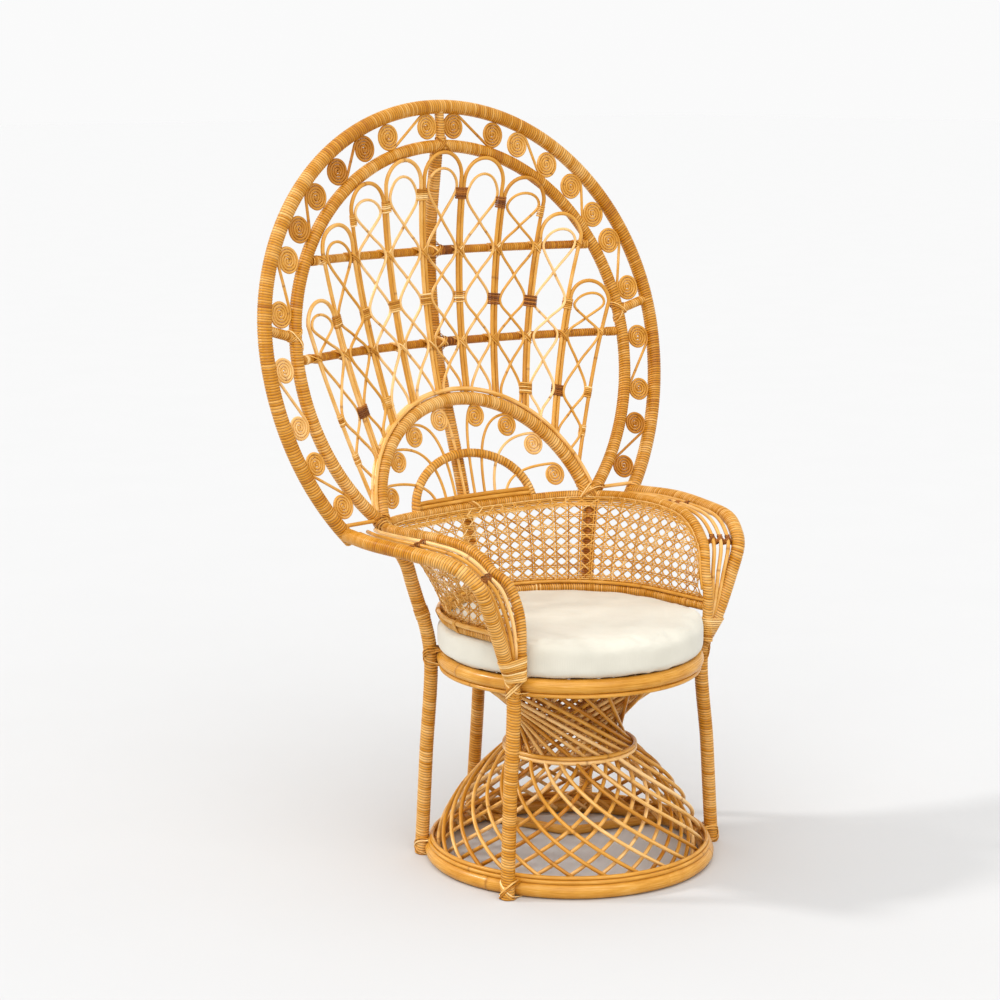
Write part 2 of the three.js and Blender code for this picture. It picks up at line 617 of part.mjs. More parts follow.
/** Angles of a row of discs, with the length that they leave free shared out in parts. */
function discAngles(from, to, endMargin, parts) {
  const steps = 200;
  const lengths = new Route((t) => between(lerp(from, to, t), 0.5)).getLengths(steps);
  const angleAt = (length) => {
    const i = lengths.findIndex((reached) => reached >= length);
    const over = (lengths[i] - length) / (lengths[i] - lengths[i - 1]);
    return lerp(from, to, (i - over) / steps);
  };
  const sum = (numbers) => numbers.reduce((total, number) => total + number, 0);
  const count = parts.length - 1;
  let angles = Array.from({ length: count }, (_, i) => lerp(from, to, (i + 0.5) / count));
  for (let round = 0; round < 6; round += 1) {
    const radii = angles.map(discRadius);
    const free = lengths.at(-1) - STRUT_POLE / 2 - endMargin - 2 * sum(radii);
    angles = radii.map((radius, i) => {
      const before = (free * sum(parts.slice(0, i + 1))) / sum(parts);
      return angleAt(STRUT_POLE / 2 + before + 2 * sum(radii.slice(0, i)) + radius);
    });
  }
  return angles;
}

/** A cane that ends in two discs: one winds off the outer hoop's side, one off the inner hoop's side. */
function edgeScroll(angles) {
  const centres = angles.map((angle) => between(angle, 0.5));
  const radii = angles.map(discRadius);
  const edge = (i, share) => {
    const outward = between(angles[i], 1).sub(centres[i]);
    return centres[i].clone().add(outward.setLength(share * (radii[i] - SCROLL_CANE)));
  };
  let scroll = sweep(new THREE.LineCurve3(edge(0, 1), edge(1, -1)), SCROLL_CANE, CANE_SIDES, 1);
  centres.forEach((centre, i) => {
    scroll = scroll.add(disc(centre, hoopNormal, radii[i], SCROLL_THICKNESS, DISC_SIDES));
  });
  return scroll;
}
const hoopFoot = Math.acos((ARM_HEIGHT - LEG_POLE / 2 - OUTER.mid) / OUTER.drop);
const scrollAngles = [
  ...discAngles(0, STRUT_TILT, STRUT_POLE / 2, UPPER_SCROLL_GAPS),
  ...discAngles(STRUT_TILT, hoopFoot, 0, LOWER_SCROLL_GAPS),
];
for (let i = 0; i < scrollAngles.length; i += 2) {
  const pair = scrollAngles.slice(i, i + 2);
  for (const [side, hand] of [['left', 1], ['right', -1]]) {
    const scroll = edgeScroll(pair.map((angle) => hand * angle));
    add(`edge_scroll_${side}_${i / 2 + 1}`, coped(scroll, innerHoop, outerHoop), BARE);
  }
}

// Arch on the back rail, which carries the stakes of the lattice
const archRise = ARCH_TOP - RAIL_HEIGHT;

/** Height at which a cane that comes down to the arch is bound into its upper edge. */
function archEdge(u) {
  const lap = (ARCH_POLE - STAKE_CANE) / 2;
  const share = clamp(u / (ARCH_HALF_WIDTH + lap), -1, 1);
  return RAIL_HEIGHT + (archRise + lap) * Math.sqrt(1 - share ** 2);
}

function archRoute(half, top) {
  return new Route((t) => {
    const angle = lerp(-Math.PI / 2, Math.PI / 2, t);
    return lattice(half * Math.sin(angle), RAIL_HEIGHT + (top - RAIL_HEIGHT) * Math.cos(angle));
  });
}
const arch = pole(archRoute(ARCH_HALF_WIDTH, ARCH_TOP), ARCH_POLE, POLE_SIDES, 22);
add('arch_hoop', coped(arch.solid, rail, innerHoop), WRAPPED);

/** Small arch and the scrolls that rise through it from the back rail, bound to it. */
function archScrolls() {
  let bunch = sweep(archRoute(SMALL_ARCH_HALF_WIDTH, SMALL_ARCH_TOP), SMALL_ARCH_POLE, POLE_SIDES, 12);
  const inset = ARCH_POLE / 2 + ARCH_DISC;
  ARCH_SCROLLS.forEach((angle, i) => {
    for (const hand of [1, -1]) {
      const u = hand * (ARCH_HALF_WIDTH - inset) * Math.sin(angle);
      const z = RAIL_HEIGHT + (archRise - inset) * Math.cos(angle);
      const stem = hand * ARCH_STEM_SPACING * (i + 0.5);
      const rise = new THREE.QuadraticBezierCurve(
        new THREE.Vector2(stem, RAIL_HEIGHT),
        new THREE.Vector2(stem, z + ARCH_DISC),
        new THREE.Vector2(u, z + ARCH_DISC - SCROLL_CANE),
      );
      const route = new Route((t) => lattice(rise.getPoint(t).x, rise.getPoint(t).y));
      bunch = bunch.add(sweep(route, SCROLL_CANE, FINE_SIDES, 4));
      bunch = bunch.add(disc(lattice(u, z), latticeNormal(u, z), ARCH_DISC, SCROLL_THICKNESS, DISC_SIDES));
    }
  });
  return bunch;
}
add('arch_scrolls', coped(archScrolls(), rail, arch), BARE);

// Stakes: nine hairpins that fan out from the arch to the inner hoop, two legs side by side on each line
const spacing = (z) => STAKE_SPACING + STAKE_FAN * (z - MIDDLE_TIE_HEIGHT);
const stakeLine = (k, z) => spacing(z) * (k + STAKE_SPREAD * k ** 3);
const hoopPath = innerRoute.getSpacedPoints(160);
const stakeRoom = (STAKE_CANE + CLEARANCE) / 2;

/** Left and right edge of a bay at a height, kept free by some margin. */
const bayEdges = (bay, z, margin) => [stakeLine(bay - 0.5, z) + margin, stakeLine(bay + 0.5, z) - margin];

function lineFoot(k) {
  let low = RAIL_HEIGHT;
  let high = ARCH_TOP + ARCH_POLE;
  for (let i = 0; i < 30; i += 1) {
    const z = (low + high) / 2;
    [low, high] = archEdge(stakeLine(k, z)) > z ? [z, high] : [low, z];
  }
  return low;
}

/** A hairpin in its bay: up one line, round the top and down the next. */
function hairpinRoute(bay, top) {
  const [a, b] = bayEdges(bay, top, stakeRoom);
  const spring = top - (b - a) / 2;
  const [left, right] = bayEdges(bay, spring, stakeRoom);
  const [leftFoot, rightFoot] = [lineFoot(bay - 0.5), lineFoot(bay + 0.5)];
  return new Route((t) => {
    const rise = Math.min(t, 1 - t) / LEG_SHARE;
    if (rise < 1) {
      const z = lerp(t < 0.5 ? leftFoot : rightFoot, spring, rise);
      return lattice(bayEdges(bay, z, stakeRoom)[t < 0.5 ? 0 : 1], z);
    }
    const angle = (Math.PI * (t - LEG_SHARE)) / (1 - 2 * LEG_SHARE);
    const u = (left + right - (right - left) * Math.cos(angle)) / 2;
    return lattice(u, spring + (top - spring) * Math.sin(angle));
  });
}

/** Height at which a hairpin's top meets the inner hoop. */
function hairpinTop(bay) {
  const reach = (INNER_POLE + STAKE_CANE) / 2 + CLEARANCE;
  const clear = (top) => {
    const points = hairpinRoute(bay, top).getPoints(80);
    return points.every((p) => hoopPath.every((q) => p.distanceTo(q) > reach));
  };
  let low = LOWER_CROSS_HEIGHT;
  let high = INNER_TOP;
  for (let i = 0; i < 12; i += 1) {
    const top = (low + high) / 2;
    [low, high] = clear(top) ? [top, high] : [low, top];
  }
  return low;
}

/** Heights at which a bay's loop is tied to the stakes, from the top down. */
function tieHeights(bay, top) {
  const u = Math.abs(stakeLine(bay, MIDDLE_TIE_HEIGHT));
  const rows = [
    TOP_TIE_HEIGHT - TOP_TIE_SLOPE * u,
    UPPER_CROSS_HEIGHT,
    MIDDLE_TIE_HEIGHT - TIE_SLOPE * u,
    LOWER_CROSS_HEIGHT,
    LOW_TIE_HEIGHT - TIE_SLOPE * u,
    FOOT_TIE_HEIGHT,
  ];
  return rows.filter((z) => z < top - LOOP_DROP);
}

/** Loop of thin cane in a bay: round at the top, then its legs swap sides at each row of ties. */
function loopRoute(bay, stakeTop) {
  const top = stakeTop - LOOP_DROP - STAKE_CANE;
  const ties = tieHeights(bay, top);
  const margin = STAKE_CANE + LOOP_CANE / 2 + LOOP_GAP;
  const depth = LOOP_CANE / 2 + CLEARANCE;
  const spot = (side, z, layer) => {
    const [left, right] = bayEdges(bay, z, margin);
    return lattice(lerp(left, right, (side + 1) / 2), z, layer * depth);
  };
  const heightAt = (n) => {
    const row = Math.min(Math.floor(n), ties.length - 2);
    return lerp(ties[row], ties[row + 1], n - row);
  };
  const leg = (side) => {
    const points = [];
    let across = side;
    for (let n = 0; n < ties.length; n += 0.5) {
      const next = side * Math.cos(Math.PI * n);
      const p = spot(next, heightAt(n), side);
      if (p.z < archEdge(p.x)) break;
      points.push(p);
      across = next;
    }
    return [...points, spot(across, archEdge(points.at(-1).x), side)];
  };
  const crown = [];
  for (let i = 1; i < 6; i += 1) {
    const angle = (Math.PI * i) / 6;
    crown.push(spot(-Math.cos(angle), lerp(ties[0], top, Math.sin(angle)), -Math.cos(angle)));
  }
  const points = [...leg(-1).reverse(), ...crown, ...leg(1)];
  return { route: through(points), count: points.length - 1 };
}
for (let bay = -STAKE_BAYS; bay <= STAKE_BAYS; bay += 1) {
  const number = bay + STAKE_BAYS + 1;
  const top = hairpinTop(bay);
  const stake = sweep(hairpinRoute(bay, top), STAKE_CANE, CANE_SIDES, 14);
  add(`stake_${number}`, coped(stake, arch, rail, innerHoop), BARE);
  const { route, count } = loopRoute(bay, top);
  const loop = sweep(new Route((t) => route.getPoint(t)), LOOP_CANE, FINE_SIDES, count);
  add(`loop_${number}`, coped(loop, arch, rail), BARE);
}

// Cross rails behind the stakes, and the brace that stands behind them on the floor
const crossDepth = LOOP_CANE + CLEARANCE + CROSS_POLE / 2 + CLEARANCE;
function crossRail(height) {
  const share = (height - INNER_MID_HEIGHT) / INNER.rise;
  const half = INNER_HALF_WIDTH * Math.sqrt(1 - share ** 2);
  const route = new Route((t) => lattice(lerp(-half, half, t), height, crossDepth));
  return pole(route, CROSS_POLE, POLE_SIDES, 14);
}
const upperCross = crossRail(UPPER_CROSS_HEIGHT);
const lowerCross = crossRail(LOWER_CROSS_HEIGHT);
add('upper_cross_rail', coped(upperCross.solid, innerHoop), WRAPPED);
add('lower_cross_rail', coped(lowerCross.solid, innerHoop), WRAPPED);

const behindLattice = (z, thickness) => lattice(0, z, thickness + LEG_POLE / 2 + CLEARANCE);
const braceRoute = through([
  polar(FLOOR_RING + FLOOR_POLE / 2 + postRadius, Math.PI, -LEG_POLE),
  polar(SEAT_RING + SEAT_POLE / 2 + postRadius, Math.PI, SEAT_HEIGHT),
  point(0, RAIL_BACK + RAIL_POLE / 2 + postRadius, RAIL_HEIGHT),
  behindLattice(ARCH_TOP, ARCH_POLE / 2),
  behindLattice(LOWER_CROSS_HEIGHT, crossDepth + CROSS_POLE / 2),
  behindLattice(UPPER_CROSS_HEIGHT, crossDepth + CROSS_POLE / 2),
  innerRoute.getPoint(0.5).add(point(0, INNER_POLE / 2, 0)),
]);
const brace = sweep(braceRoute, LEG_POLE, POLE_SIDES, 24);
const braced = [floorRing, seatRing, rail, arch, upperCross, lowerCross, innerHoop];
add('rear_brace', standing(coped(brace, ...braced)), WRAPPED);

// The footprint's middle is the origin
const box = new THREE.Box3().setFromObject(chair);
chair.position.y = -(box.min.y + box.max.y) / 2;

export default chair;
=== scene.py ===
# %% [markdown]
# # A rattan peacock chair
# The chair is made of bent poles and thin canes, bound together with rattan peel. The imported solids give
# the place and thickness of every pole. This lesson lays the real material over them: wound peel, bare
# cane, flat spirals, ties, woven webbing and a cotton cushion.

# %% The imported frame
import math

import bpy
import numpy as np
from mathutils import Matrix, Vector, geometry


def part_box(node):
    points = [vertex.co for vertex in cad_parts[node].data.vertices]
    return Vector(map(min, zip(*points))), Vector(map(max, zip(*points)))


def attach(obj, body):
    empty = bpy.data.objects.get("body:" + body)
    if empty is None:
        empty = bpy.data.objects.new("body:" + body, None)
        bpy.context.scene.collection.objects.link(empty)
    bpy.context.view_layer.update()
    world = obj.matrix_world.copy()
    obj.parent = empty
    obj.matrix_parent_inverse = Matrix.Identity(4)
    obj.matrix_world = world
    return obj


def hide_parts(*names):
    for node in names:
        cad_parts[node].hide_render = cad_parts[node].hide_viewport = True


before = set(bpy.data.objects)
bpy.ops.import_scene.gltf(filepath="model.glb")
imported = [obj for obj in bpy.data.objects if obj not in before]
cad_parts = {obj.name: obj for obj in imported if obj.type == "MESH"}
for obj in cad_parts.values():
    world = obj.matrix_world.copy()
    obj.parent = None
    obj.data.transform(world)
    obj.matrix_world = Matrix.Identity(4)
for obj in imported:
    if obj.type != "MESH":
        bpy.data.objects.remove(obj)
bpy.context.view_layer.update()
ring_low, ring_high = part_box("floor_ring")
drum_axis = np.array([(ring_low.x + ring_high.x) / 2, (ring_low.y + ring_high.y) / 2, 0.0])
rng = np.random.default_rng(12)

# %% [markdown]
# ## Camera
# The rings and the mirrored sides of the hoops give the camera's place in the photograph. Lengths in this
# lesson are millimetres from the drum's upright axis, as a maker would measure them. One function turns a
# place into Blender's metres.

# %% The camera
def metres(place):
    return np.asarray(place, float) * 0.001 + drum_axis


scene = bpy.context.scene
camera_data = bpy.data.cameras.new("photo_camera")
camera_data.lens = 87.22
camera_data.sensor_width = 36
camera = bpy.data.objects.new("photo_camera", camera_data)
camera.location = metres((-3178, -3467, 1557))
camera.rotation_euler = (math.radians(79.956), 0, math.radians(-40.808))
scene.collection.objects.link(camera)
scene.camera = camera
print("camera at", [round(v, 3) for v in camera.location])

# %% [markdown]
# ## Colours and nodes
# Every colour below is written as the hex value one would pick from a picture. Blender's shaders count in
# linear light, so one function converts them. A second one adds a node, sets its properties, fills its
# sockets and places its colour stops: a socket given as the value becomes a link.

# %% Colour and node helpers
def linear(hex_colour):
    shares = [int(hex_colour[i:i + 2], 16) / 255 for i in (1, 3, 5)]
    return tuple(v / 12.92 if v <= 0.04045 else ((v + 0.055) / 1.055) ** 2.4 for v in shares) + (1.0,)


def node(tree, kind, properties=None, sockets=None, stops=()):
    made = tree.nodes.new(kind)
    for key, value in (properties or {}).items():
        setattr(made, key, value)
    for key, value in (sockets or {}).items():
        if isinstance(value, bpy.types.NodeSocket):
            tree.links.new(value, made.inputs[key])
        else:
            made.inputs[key].default_value = value
    for number, (place, colour) in enumerate(stops):
        elements = made.color_ramp.elements
        element = elements[number] if number < len(elements) else elements.new(place)
        element.position = place
        element.color = linear(colour)
    return made


def blank_finish(name):
    finish = bpy.data.materials.new(name)
    finish.use_nodes = True
    finish.node_tree.nodes.clear()
    return finish, finish.node_tree


print("mid honey in linear light:", [round(v, 3) for v in linear("#ce8b33")])

# %% [markdown]
# ## Rattan
# Rattan is a climbing palm. Its skin, split off as peel, is hard, glossy and finely lined along the stem;
# the bare cane has the same lines and a darker ring at each joint of the stem. Both were lacquered. Three
# attributes on the meshes carry what the shader needs: `grain` holds millimetres along and across the
# stem, `tone` is each strand's own shade, and `dark` marks the real dark rings at the joints and the
# grooves between turns of peel, where it paints shade. Attributes stay on bent tubes where a flat texture
# map would tear.

# %% The rattan finishes
def rattan(name, lines, tones, groove, roughness):
    """Lacquered rattan: lines are the grain's scale per millimetre along the three directions of grain."""
    finish, tree = blank_finish(name)
    grain, tone, dark = (
        node(tree, "ShaderNodeAttribute", {"attribute_name": key}).outputs[socket]
        for key, socket in (("grain", "Vector"), ("tone", "Fac"), ("dark", "Fac")))
    fine = node(tree, "ShaderNodeMapping", sockets={"Vector": grain, "Scale": lines}).outputs["Vector"]
    fibre, broad = (
        node(tree, "ShaderNodeTexNoise", sockets={
            "Vector": place, "Scale": scale, "Detail": detail}).outputs[0]
        for place, scale, detail in ((fine, 1.0, 3.0), (grain, 0.02, 2.0)))
    shade = tone
    for pattern, share in ((fibre, 0.5), (broad, 0.3)):
        shade = node(tree, "ShaderNodeMath", {"operation": "MULTIPLY_ADD"},
                     {0: pattern, 1: share, 2: shade}).outputs[0]
    # The palest colour stop is partly the rattan's own light tone and partly painted highlight, made paler
    # to stand in for glints.
    colour = node(tree, "ShaderNodeValToRGB", sockets={"Fac": shade},
                  stops=zip((0.42, 0.65, 0.88), tones)).outputs["Color"]
    # Where dark is set the colour turns to the groove colour: painted shade in the grooves of wound peel,
    # and the real dark ring at each joint of bare cane.
    colour_with_groove_shade_and_joints = node(tree, "ShaderNodeMix", {"data_type": "RGBA"},
                {0: dark, 6: colour, 7: linear(groove)}).outputs[2]
    gloss = node(tree, "ShaderNodeMapRange", sockets={
        "Value": fibre, "To Min": roughness - 0.1, "To Max": roughness + 0.12}).outputs[0]
    bump = node(tree, "ShaderNodeBump", sockets={
        "Height": fibre, "Strength": 0.3, "Distance": 0.0004}).outputs["Normal"]
    skin = node(tree, "ShaderNodeBsdfPrincipled", sockets={
        "Base Color": colour_with_groove_shade_and_joints, "Roughness": gloss, "Normal": bump, "IOR": 1.5, "Specular IOR Level": 0.5})
    node(tree, "ShaderNodeOutputMaterial", sockets={"Surface": skin.outputs["BSDF"]})
    return finish


# In the peel, cane and woven finishes the palest of the three colours is partly painted highlight, paler
# than the rattan's own light tone.
# Peel wound round a pole: its fibres run round the pole, so the lines are fine along it (0.8 mm).
# Its groove colour, #6a3400, is painted shade for the grooves between the turns.
WRAPPED = rattan("lacquered_rattan_peel", (1.25, 0.05, 0.05),
                 ("#b06c02", "#d4941a", "#f3c67c"), "#6a3400", 0.36)
# Bare cane, scraped and polished: pale lines 0.9 mm apart run along the stem, and the lacquer shines.
BARE = rattan("polished_bare_rattan", (0.025, 1.1, 1.1),
              ("#b97a18", "#daa344", "#f5d094"), "#8a5010", 0.28)
# Split peel woven into webbing: flat, glossy on its outer face, lines 0.6 mm apart along each strand.
WOVEN = rattan("woven_split_cane", (0.05, 1.6, 1.6),
               ("#b87a18", "#dca342", "#f8d69a"), "#7a4408", 0.38)
# Smoked peel on a few of the ties: the same skin, browned before it was wound.
SMOKED = rattan("smoked_rattan_peel", (0.06, 1.3, 1.3),
                ("#7a430c", "#a06018", "#bd7a2a"), "#3c1c03", 0.45)
print("finishes:", ", ".join(m.name for m in (WRAPPED, BARE, WOVEN, SMOKED)))

# %% [markdown]
# ## Strands
# A pole, a cane or a strip of peel is a section moved along a line. Blender's curve objects could do that
# with a bevel, but they give no ridges and no attributes, so the rings of points are made here with numpy.
# A line is an array of points. `across` gives two directions square to it that don't twist, and `tube`
# joins the rings. Each strand takes its grain from a stretch of its own on a 9 m stem.

# %% Lines and tubes
STEM = 9000


def lengths_along(points):
    return np.concatenate([[0.0], np.cumsum(np.linalg.norm(np.diff(points, axis=0), axis=1))])


def picked(points, places):
    """The points of a line at given lengths along it."""
    reached = lengths_along(points)
    return np.stack([np.interp(places, reached, points[:, i]) for i in range(3)], axis=-1)


def respaced(points, step):
    length = lengths_along(points)[-1]
    return picked(points, np.linspace(0, length, max(2, round(length / step) + 1)))


def unit(vector):
    vector = np.asarray(vector, float)
    return vector / np.linalg.norm(vector, axis=-1, keepdims=True)


def bent_through(points, step=6.0):
    """The smooth line that a steamed pole takes through its fixings (centripetal Catmull-Rom)."""
    points = np.asarray(points, float)
    held = np.vstack([2 * points[0] - points[1], points, 2 * points[-1] - points[-2]])
    t = np.linspace(0, 1, 24, endpoint=False)[:, None]
    stretches = []
    for p0, p1, p2, p3 in zip(held, held[1:], held[2:], held[3:]):
        d0, d1, d2 = (np.linalg.norm(b - a) ** 0.5 for a, b in ((p0, p1), (p1, p2), (p2, p3)))
        m1 = d1 * ((p1 - p0) / d0 - (p2 - p0) / (d0 + d1) + (p2 - p1) / d1)
        m2 = d1 * ((p2 - p1) / d1 - (p3 - p1) / (d1 + d2) + (p3 - p2) / d2)
        stretches.append((2 * t**3 - 3 * t**2 + 1) * p1 + (t**3 - 2 * t**2 + t) * m1
                         + (3 * t**2 - 2 * t**3) * p2 + (t**3 - t**2) * m2)
    return respaced(np.vstack(stretches + [points[-1:]]), step)


def across(points, closed=False, facing=None):
    if closed:
        ahead = unit(np.roll(points, -1, axis=0) - np.roll(points, 1, axis=0))
    else:
        ahead = unit(np.gradient(points, axis=0))
    if facing is None:
        first = np.empty_like(points)
        upright = abs(ahead[0, 2]) > 0.95
        first[0] = unit(np.cross(ahead[0], (1.0, 0, 0) if upright else (0, 0, 1.0)))
        for i in range(1, len(points)):
            first[i] = unit(first[i - 1] - ahead[i] * (first[i - 1] @ ahead[i]))
    else:
        first = unit(facing - ahead * np.sum(facing * ahead, axis=1)[:, None])
    return ahead, first, np.cross(ahead, first)


def skin_faces(rings, sides, closed=False):
    """Faces between rings of points; a row of rings that isn't closed gets a face at each end."""
    number = np.arange(rings * sides).reshape(rings, sides)
    upper = np.roll(number, -1, axis=0) if closed else number[1:]
    lower = number if closed else number[:-1]
    faces = np.stack([lower, np.roll(lower, -1, axis=1), np.roll(upper, -1, axis=1), upper], axis=-1)
    ends = [] if closed else [number[0, ::-1].tolist(), number[-1].tolist()]
    return faces.reshape(-1, 4).tolist() + ends


def tube(points, section, closed=False, facing=None, lean=0.0, tone=0.5, dark=0.0):
    """A section, one or one for each point, moved along a line; lean shifts its points along the line."""
    rings = len(points)
    section = np.broadcast_to(section, (rings,) + np.shape(section)[-2:])
    sides = section.shape[1]
    ahead, first, second = across(points, closed, facing)
    lean = np.broadcast_to(lean, (rings, sides))
    skin = (points[:, None] + first[:, None] * section[..., :1] + second[:, None] * section[..., 1:]
            + ahead[:, None] * lean[..., None])
    places = lengths_along(points)[:, None] + lean + rng.uniform(0, STEM)
    grain = np.concatenate([places[..., None], section], axis=-1)
    tone, dark = (np.broadcast_to(np.reshape(v, (-1, 1)), (rings, sides)).ravel() for v in (tone, dark))
    return {"points": skin.reshape(-1, 3), "faces": skin_faces(rings, sides, closed),
            "grain": grain.reshape(-1, 3), "tone": tone, "dark": dark}


def oval(sides, thickness, width):
    turn = np.arange(sides) * 2 * np.pi / sides
    return np.stack([np.cos(turn) * thickness / 2, np.sin(turn) * width / 2], axis=-1)


print("a bent line of three points:", bent_through([(0, 0, 0), (50, 0, 20), (100, 0, 0)]).shape)

# %% [markdown]
# ## Wound peel
# The poles are wound with peel a little over 5 mm wide. Each turn laps a little over the last one, and the
# eye reads the pole by the row of glints, the dark lines between the turns and the toothed outline. A bump
# map would leave the outline smooth, so each turn has four rings of points: a groove, a shoulder, a crown
# set past the middle and a steep edge. The groove and the shoulder carry painted shade, which darkens the
# lines between the turns. Turns differ a little in width, height and shade, and each new strip of peel, some
# 12 cm of winding, has a shade of its own. The lean of the rings is the slope of the winding.

# %% A wrapped pole
PEEL_WIDTH, PEEL_STRIP, SHADE_SPREAD = 5.3, 120.0, 0.05
# The four rings of a turn: their places along it, their depths below the crown and how much painted shade
# darkens them.
TURN_PLACES = np.array([0, 0.3, 0.62, 0.88])
TURN_DEPTHS = np.array([1, 0.3, 0, 0.12])
TURN_SHADOWS = np.array([0.75, 0.15, 0, 0.05])


def wrapped(points, thickness, turn=PEEL_WIDTH, sides=14, rise=1.2, tone=0.3, head=None):
    """A pole wound with peel from its first point on; head is its upper part's shade, if that differs."""
    length = lengths_along(points)[-1]
    count = max(2, int(length / turn))
    widths = rng.uniform(0.88, 1.12, count)
    widths *= length / widths.sum()
    starts = np.cumsum(widths) - widths
    places = np.append((starts[:, None] + widths[:, None] * TURN_PLACES).ravel(), length)
    height = rng.uniform(0.8, 1.15, count)[:, None] * (-rise * TURN_DEPTHS)
    radius = thickness / 2 + np.append(height.ravel(), -rise)
    strips = np.arange(0, length + PEEL_STRIP, PEEL_STRIP)
    shades = np.interp(strips / length, (0.5, 0.6), (tone, tone if head is None else head))
    drift = np.interp(starts, strips, rng.normal(shades, SHADE_SPREAD))
    shade = np.append(np.repeat(rng.normal(drift, SHADE_SPREAD), len(TURN_PLACES)), tone)
    # Painted shade: the groove and shoulder rings of each turn are drawn darker.
    groove = np.append(np.tile(TURN_SHADOWS, count), TURN_SHADOWS[0])
    fade = np.clip(np.minimum(places, length - places) / turn, 0, 1)
    circle = oval(sides, 2, 2)
    return tube(picked(points, places), radius[:, None, None] * circle,
                lean=np.outer(fade, circle[:, 0]) * turn / 2, tone=shade, dark=groove)


print("turns of peel in a metre of pole:", round(1000 / PEEL_WIDTH))

# %% [markdown]
# ## Bare cane
# A bare cane is a plain round strand with a slight swelling and a dark ring at each joint of the stem, some
# 32 cm apart. Extra rings of points go in there, so the joint keeps its shape on a strand with few points.

# %% A bare cane
JOINT_RINGS, JOINT_WIDTH = np.array([-5.0, -2.2, 0, 2.2, 5.0]), 2.4


def cane(points, thickness, sides=8, step=8.0, closed=False, joint=320.0, tone=None):
    length = lengths_along(points)[-1]
    joints = np.arange(rng.uniform(0.1, 0.9) * joint, length - 12, joint)
    joints = joints + rng.uniform(-60, 60, len(joints))
    even = np.linspace(0, length, max(3, round(length / step) + 1))
    near = (joints[:, None] + JOINT_RINGS).ravel()
    places = np.unique(np.concatenate([even, near[(near > 1) & (near < length - 1)]]))
    if closed:
        places = places[:-1]
    swell = np.exp(-((places[:, None] - joints) / JOINT_WIDTH) ** 2).sum(axis=1)
    radius = thickness / 2 * (1 + 0.05 * swell + 0.012 * np.sin(places / 41.0 + rng.uniform(0, 6)))
    tone = rng.normal(0.27, 0.09) if tone is None else tone
    return tube(picked(points, places), radius[:, None, None] * oval(sides, 2, 2), closed,
                tone=tone, dark=0.55 * swell)


print("rings of points at a joint:", len(JOINT_RINGS))

# %% [markdown]
# ## Pieces
# A piece is one object of strands. It takes the place of its imported solids and rides on the chair's one
# body. Nothing reaches below the floor.

# %% Joining strands into a piece
FLOOR_CLEARANCE = 0.2


def piece(name, strands, finish, slot, *solids):
    sizes = np.cumsum([0] + [len(s["points"]) for s in strands])
    mesh = bpy.data.meshes.new(name)
    faces = [[i + start for i in face] for s, start in zip(strands, sizes) for face in s["faces"]]
    points = np.vstack([s["points"] for s in strands])
    points[:, 2] = np.maximum(points[:, 2], FLOOR_CLEARANCE)
    mesh.from_pydata(metres(points), [], faces)
    for key, kind, field in (("grain", "FLOAT_VECTOR", "vector"), ("tone", "FLOAT", "value"),
                             ("dark", "FLOAT", "value")):
        layer = mesh.attributes.new(key, kind, "POINT")
        layer.data.foreach_set(field, np.concatenate([s[key] for s in strands]).ravel())
    mesh.shade_smooth()
    mesh.materials.append(finish)
    made = bpy.data.objects.new(name, mesh)
    scene.collection.objects.link(made)
    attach(made, "root")
    if solids:
        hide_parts(*solids)
    print(f"{name}: {len(strands)} strands, {len(mesh.vertices)} points")


def bare_piece(name, strands, *solids):
    piece(name, strands, BARE, "bare_rattan", *solids)


def wrapped_piece(name, strands, *solids):
    piece(name, strands, WRAPPED, "wrapped_rattan", *solids)


# %% [markdown]
# ## Base rings
# The drum stands on one thick bare pole bent to a ring, with two thin canes laid on its upper edge. A second
# ring carries the seat, with one thin cane under it. They are plain bare canes, closed on themselves, with
# more sides because their gloss shows every facet.

# %% Floor ring and seat ring
def polar(radius, angle, z):
    """A place by its distance from the drum's axis and its angle from straight ahead."""
    return np.stack(np.broadcast_arrays(radius * np.sin(angle), -radius * np.cos(angle), z), axis=-1)


def ring(radius, z):
    return polar(radius, np.linspace(0, 2 * np.pi, 241), z)


FLOOR_RING, SEAT_RING, WAIST_RING = 276, 252, 125
FLOOR_POLE, SEAT_POLE = 30, 28.6
FLOOR_HEIGHT, SEAT_HEIGHT, WAIST_HEIGHT = FLOOR_POLE / 2, 410, 229
for name, thickness, sides, rings, solid in (
        ("floor_ring_pole", FLOOR_POLE, 24, [(FLOOR_RING, FLOOR_HEIGHT)], "floor_ring"),
        ("floor_ring_trims", 8.4, 10, [(281, 33), (277, 40.4)], "floor_trim"),
        ("seat_ring_pole", SEAT_POLE, 24, [(SEAT_RING, SEAT_HEIGHT)], "seat_ring"),
        ("seat_ring_trim", 8.6, 10, [(257, 392.4)], "seat_trim")):
    bare_piece(name, [cane(ring(radius, z), thickness, sides, closed=True, joint=420, tone=0.2)
                      for radius, z in rings], solid)

# %% [markdown]
# ## Drum of twisted canes
# Two layers of 26 canes run from the seat ring to the floor ring. Above the waist each cane is straight, and
# its slant alone gives the hour-glass shape; below the waist it swells out as a dome. The outer layer leans
# one way and the inner layer the other. Pairs of thin rings hold the waist.

# %% Drum canes
DRUM_CANES, TWIST_ABOVE, TWIST_BELOW = 26, 100, 75


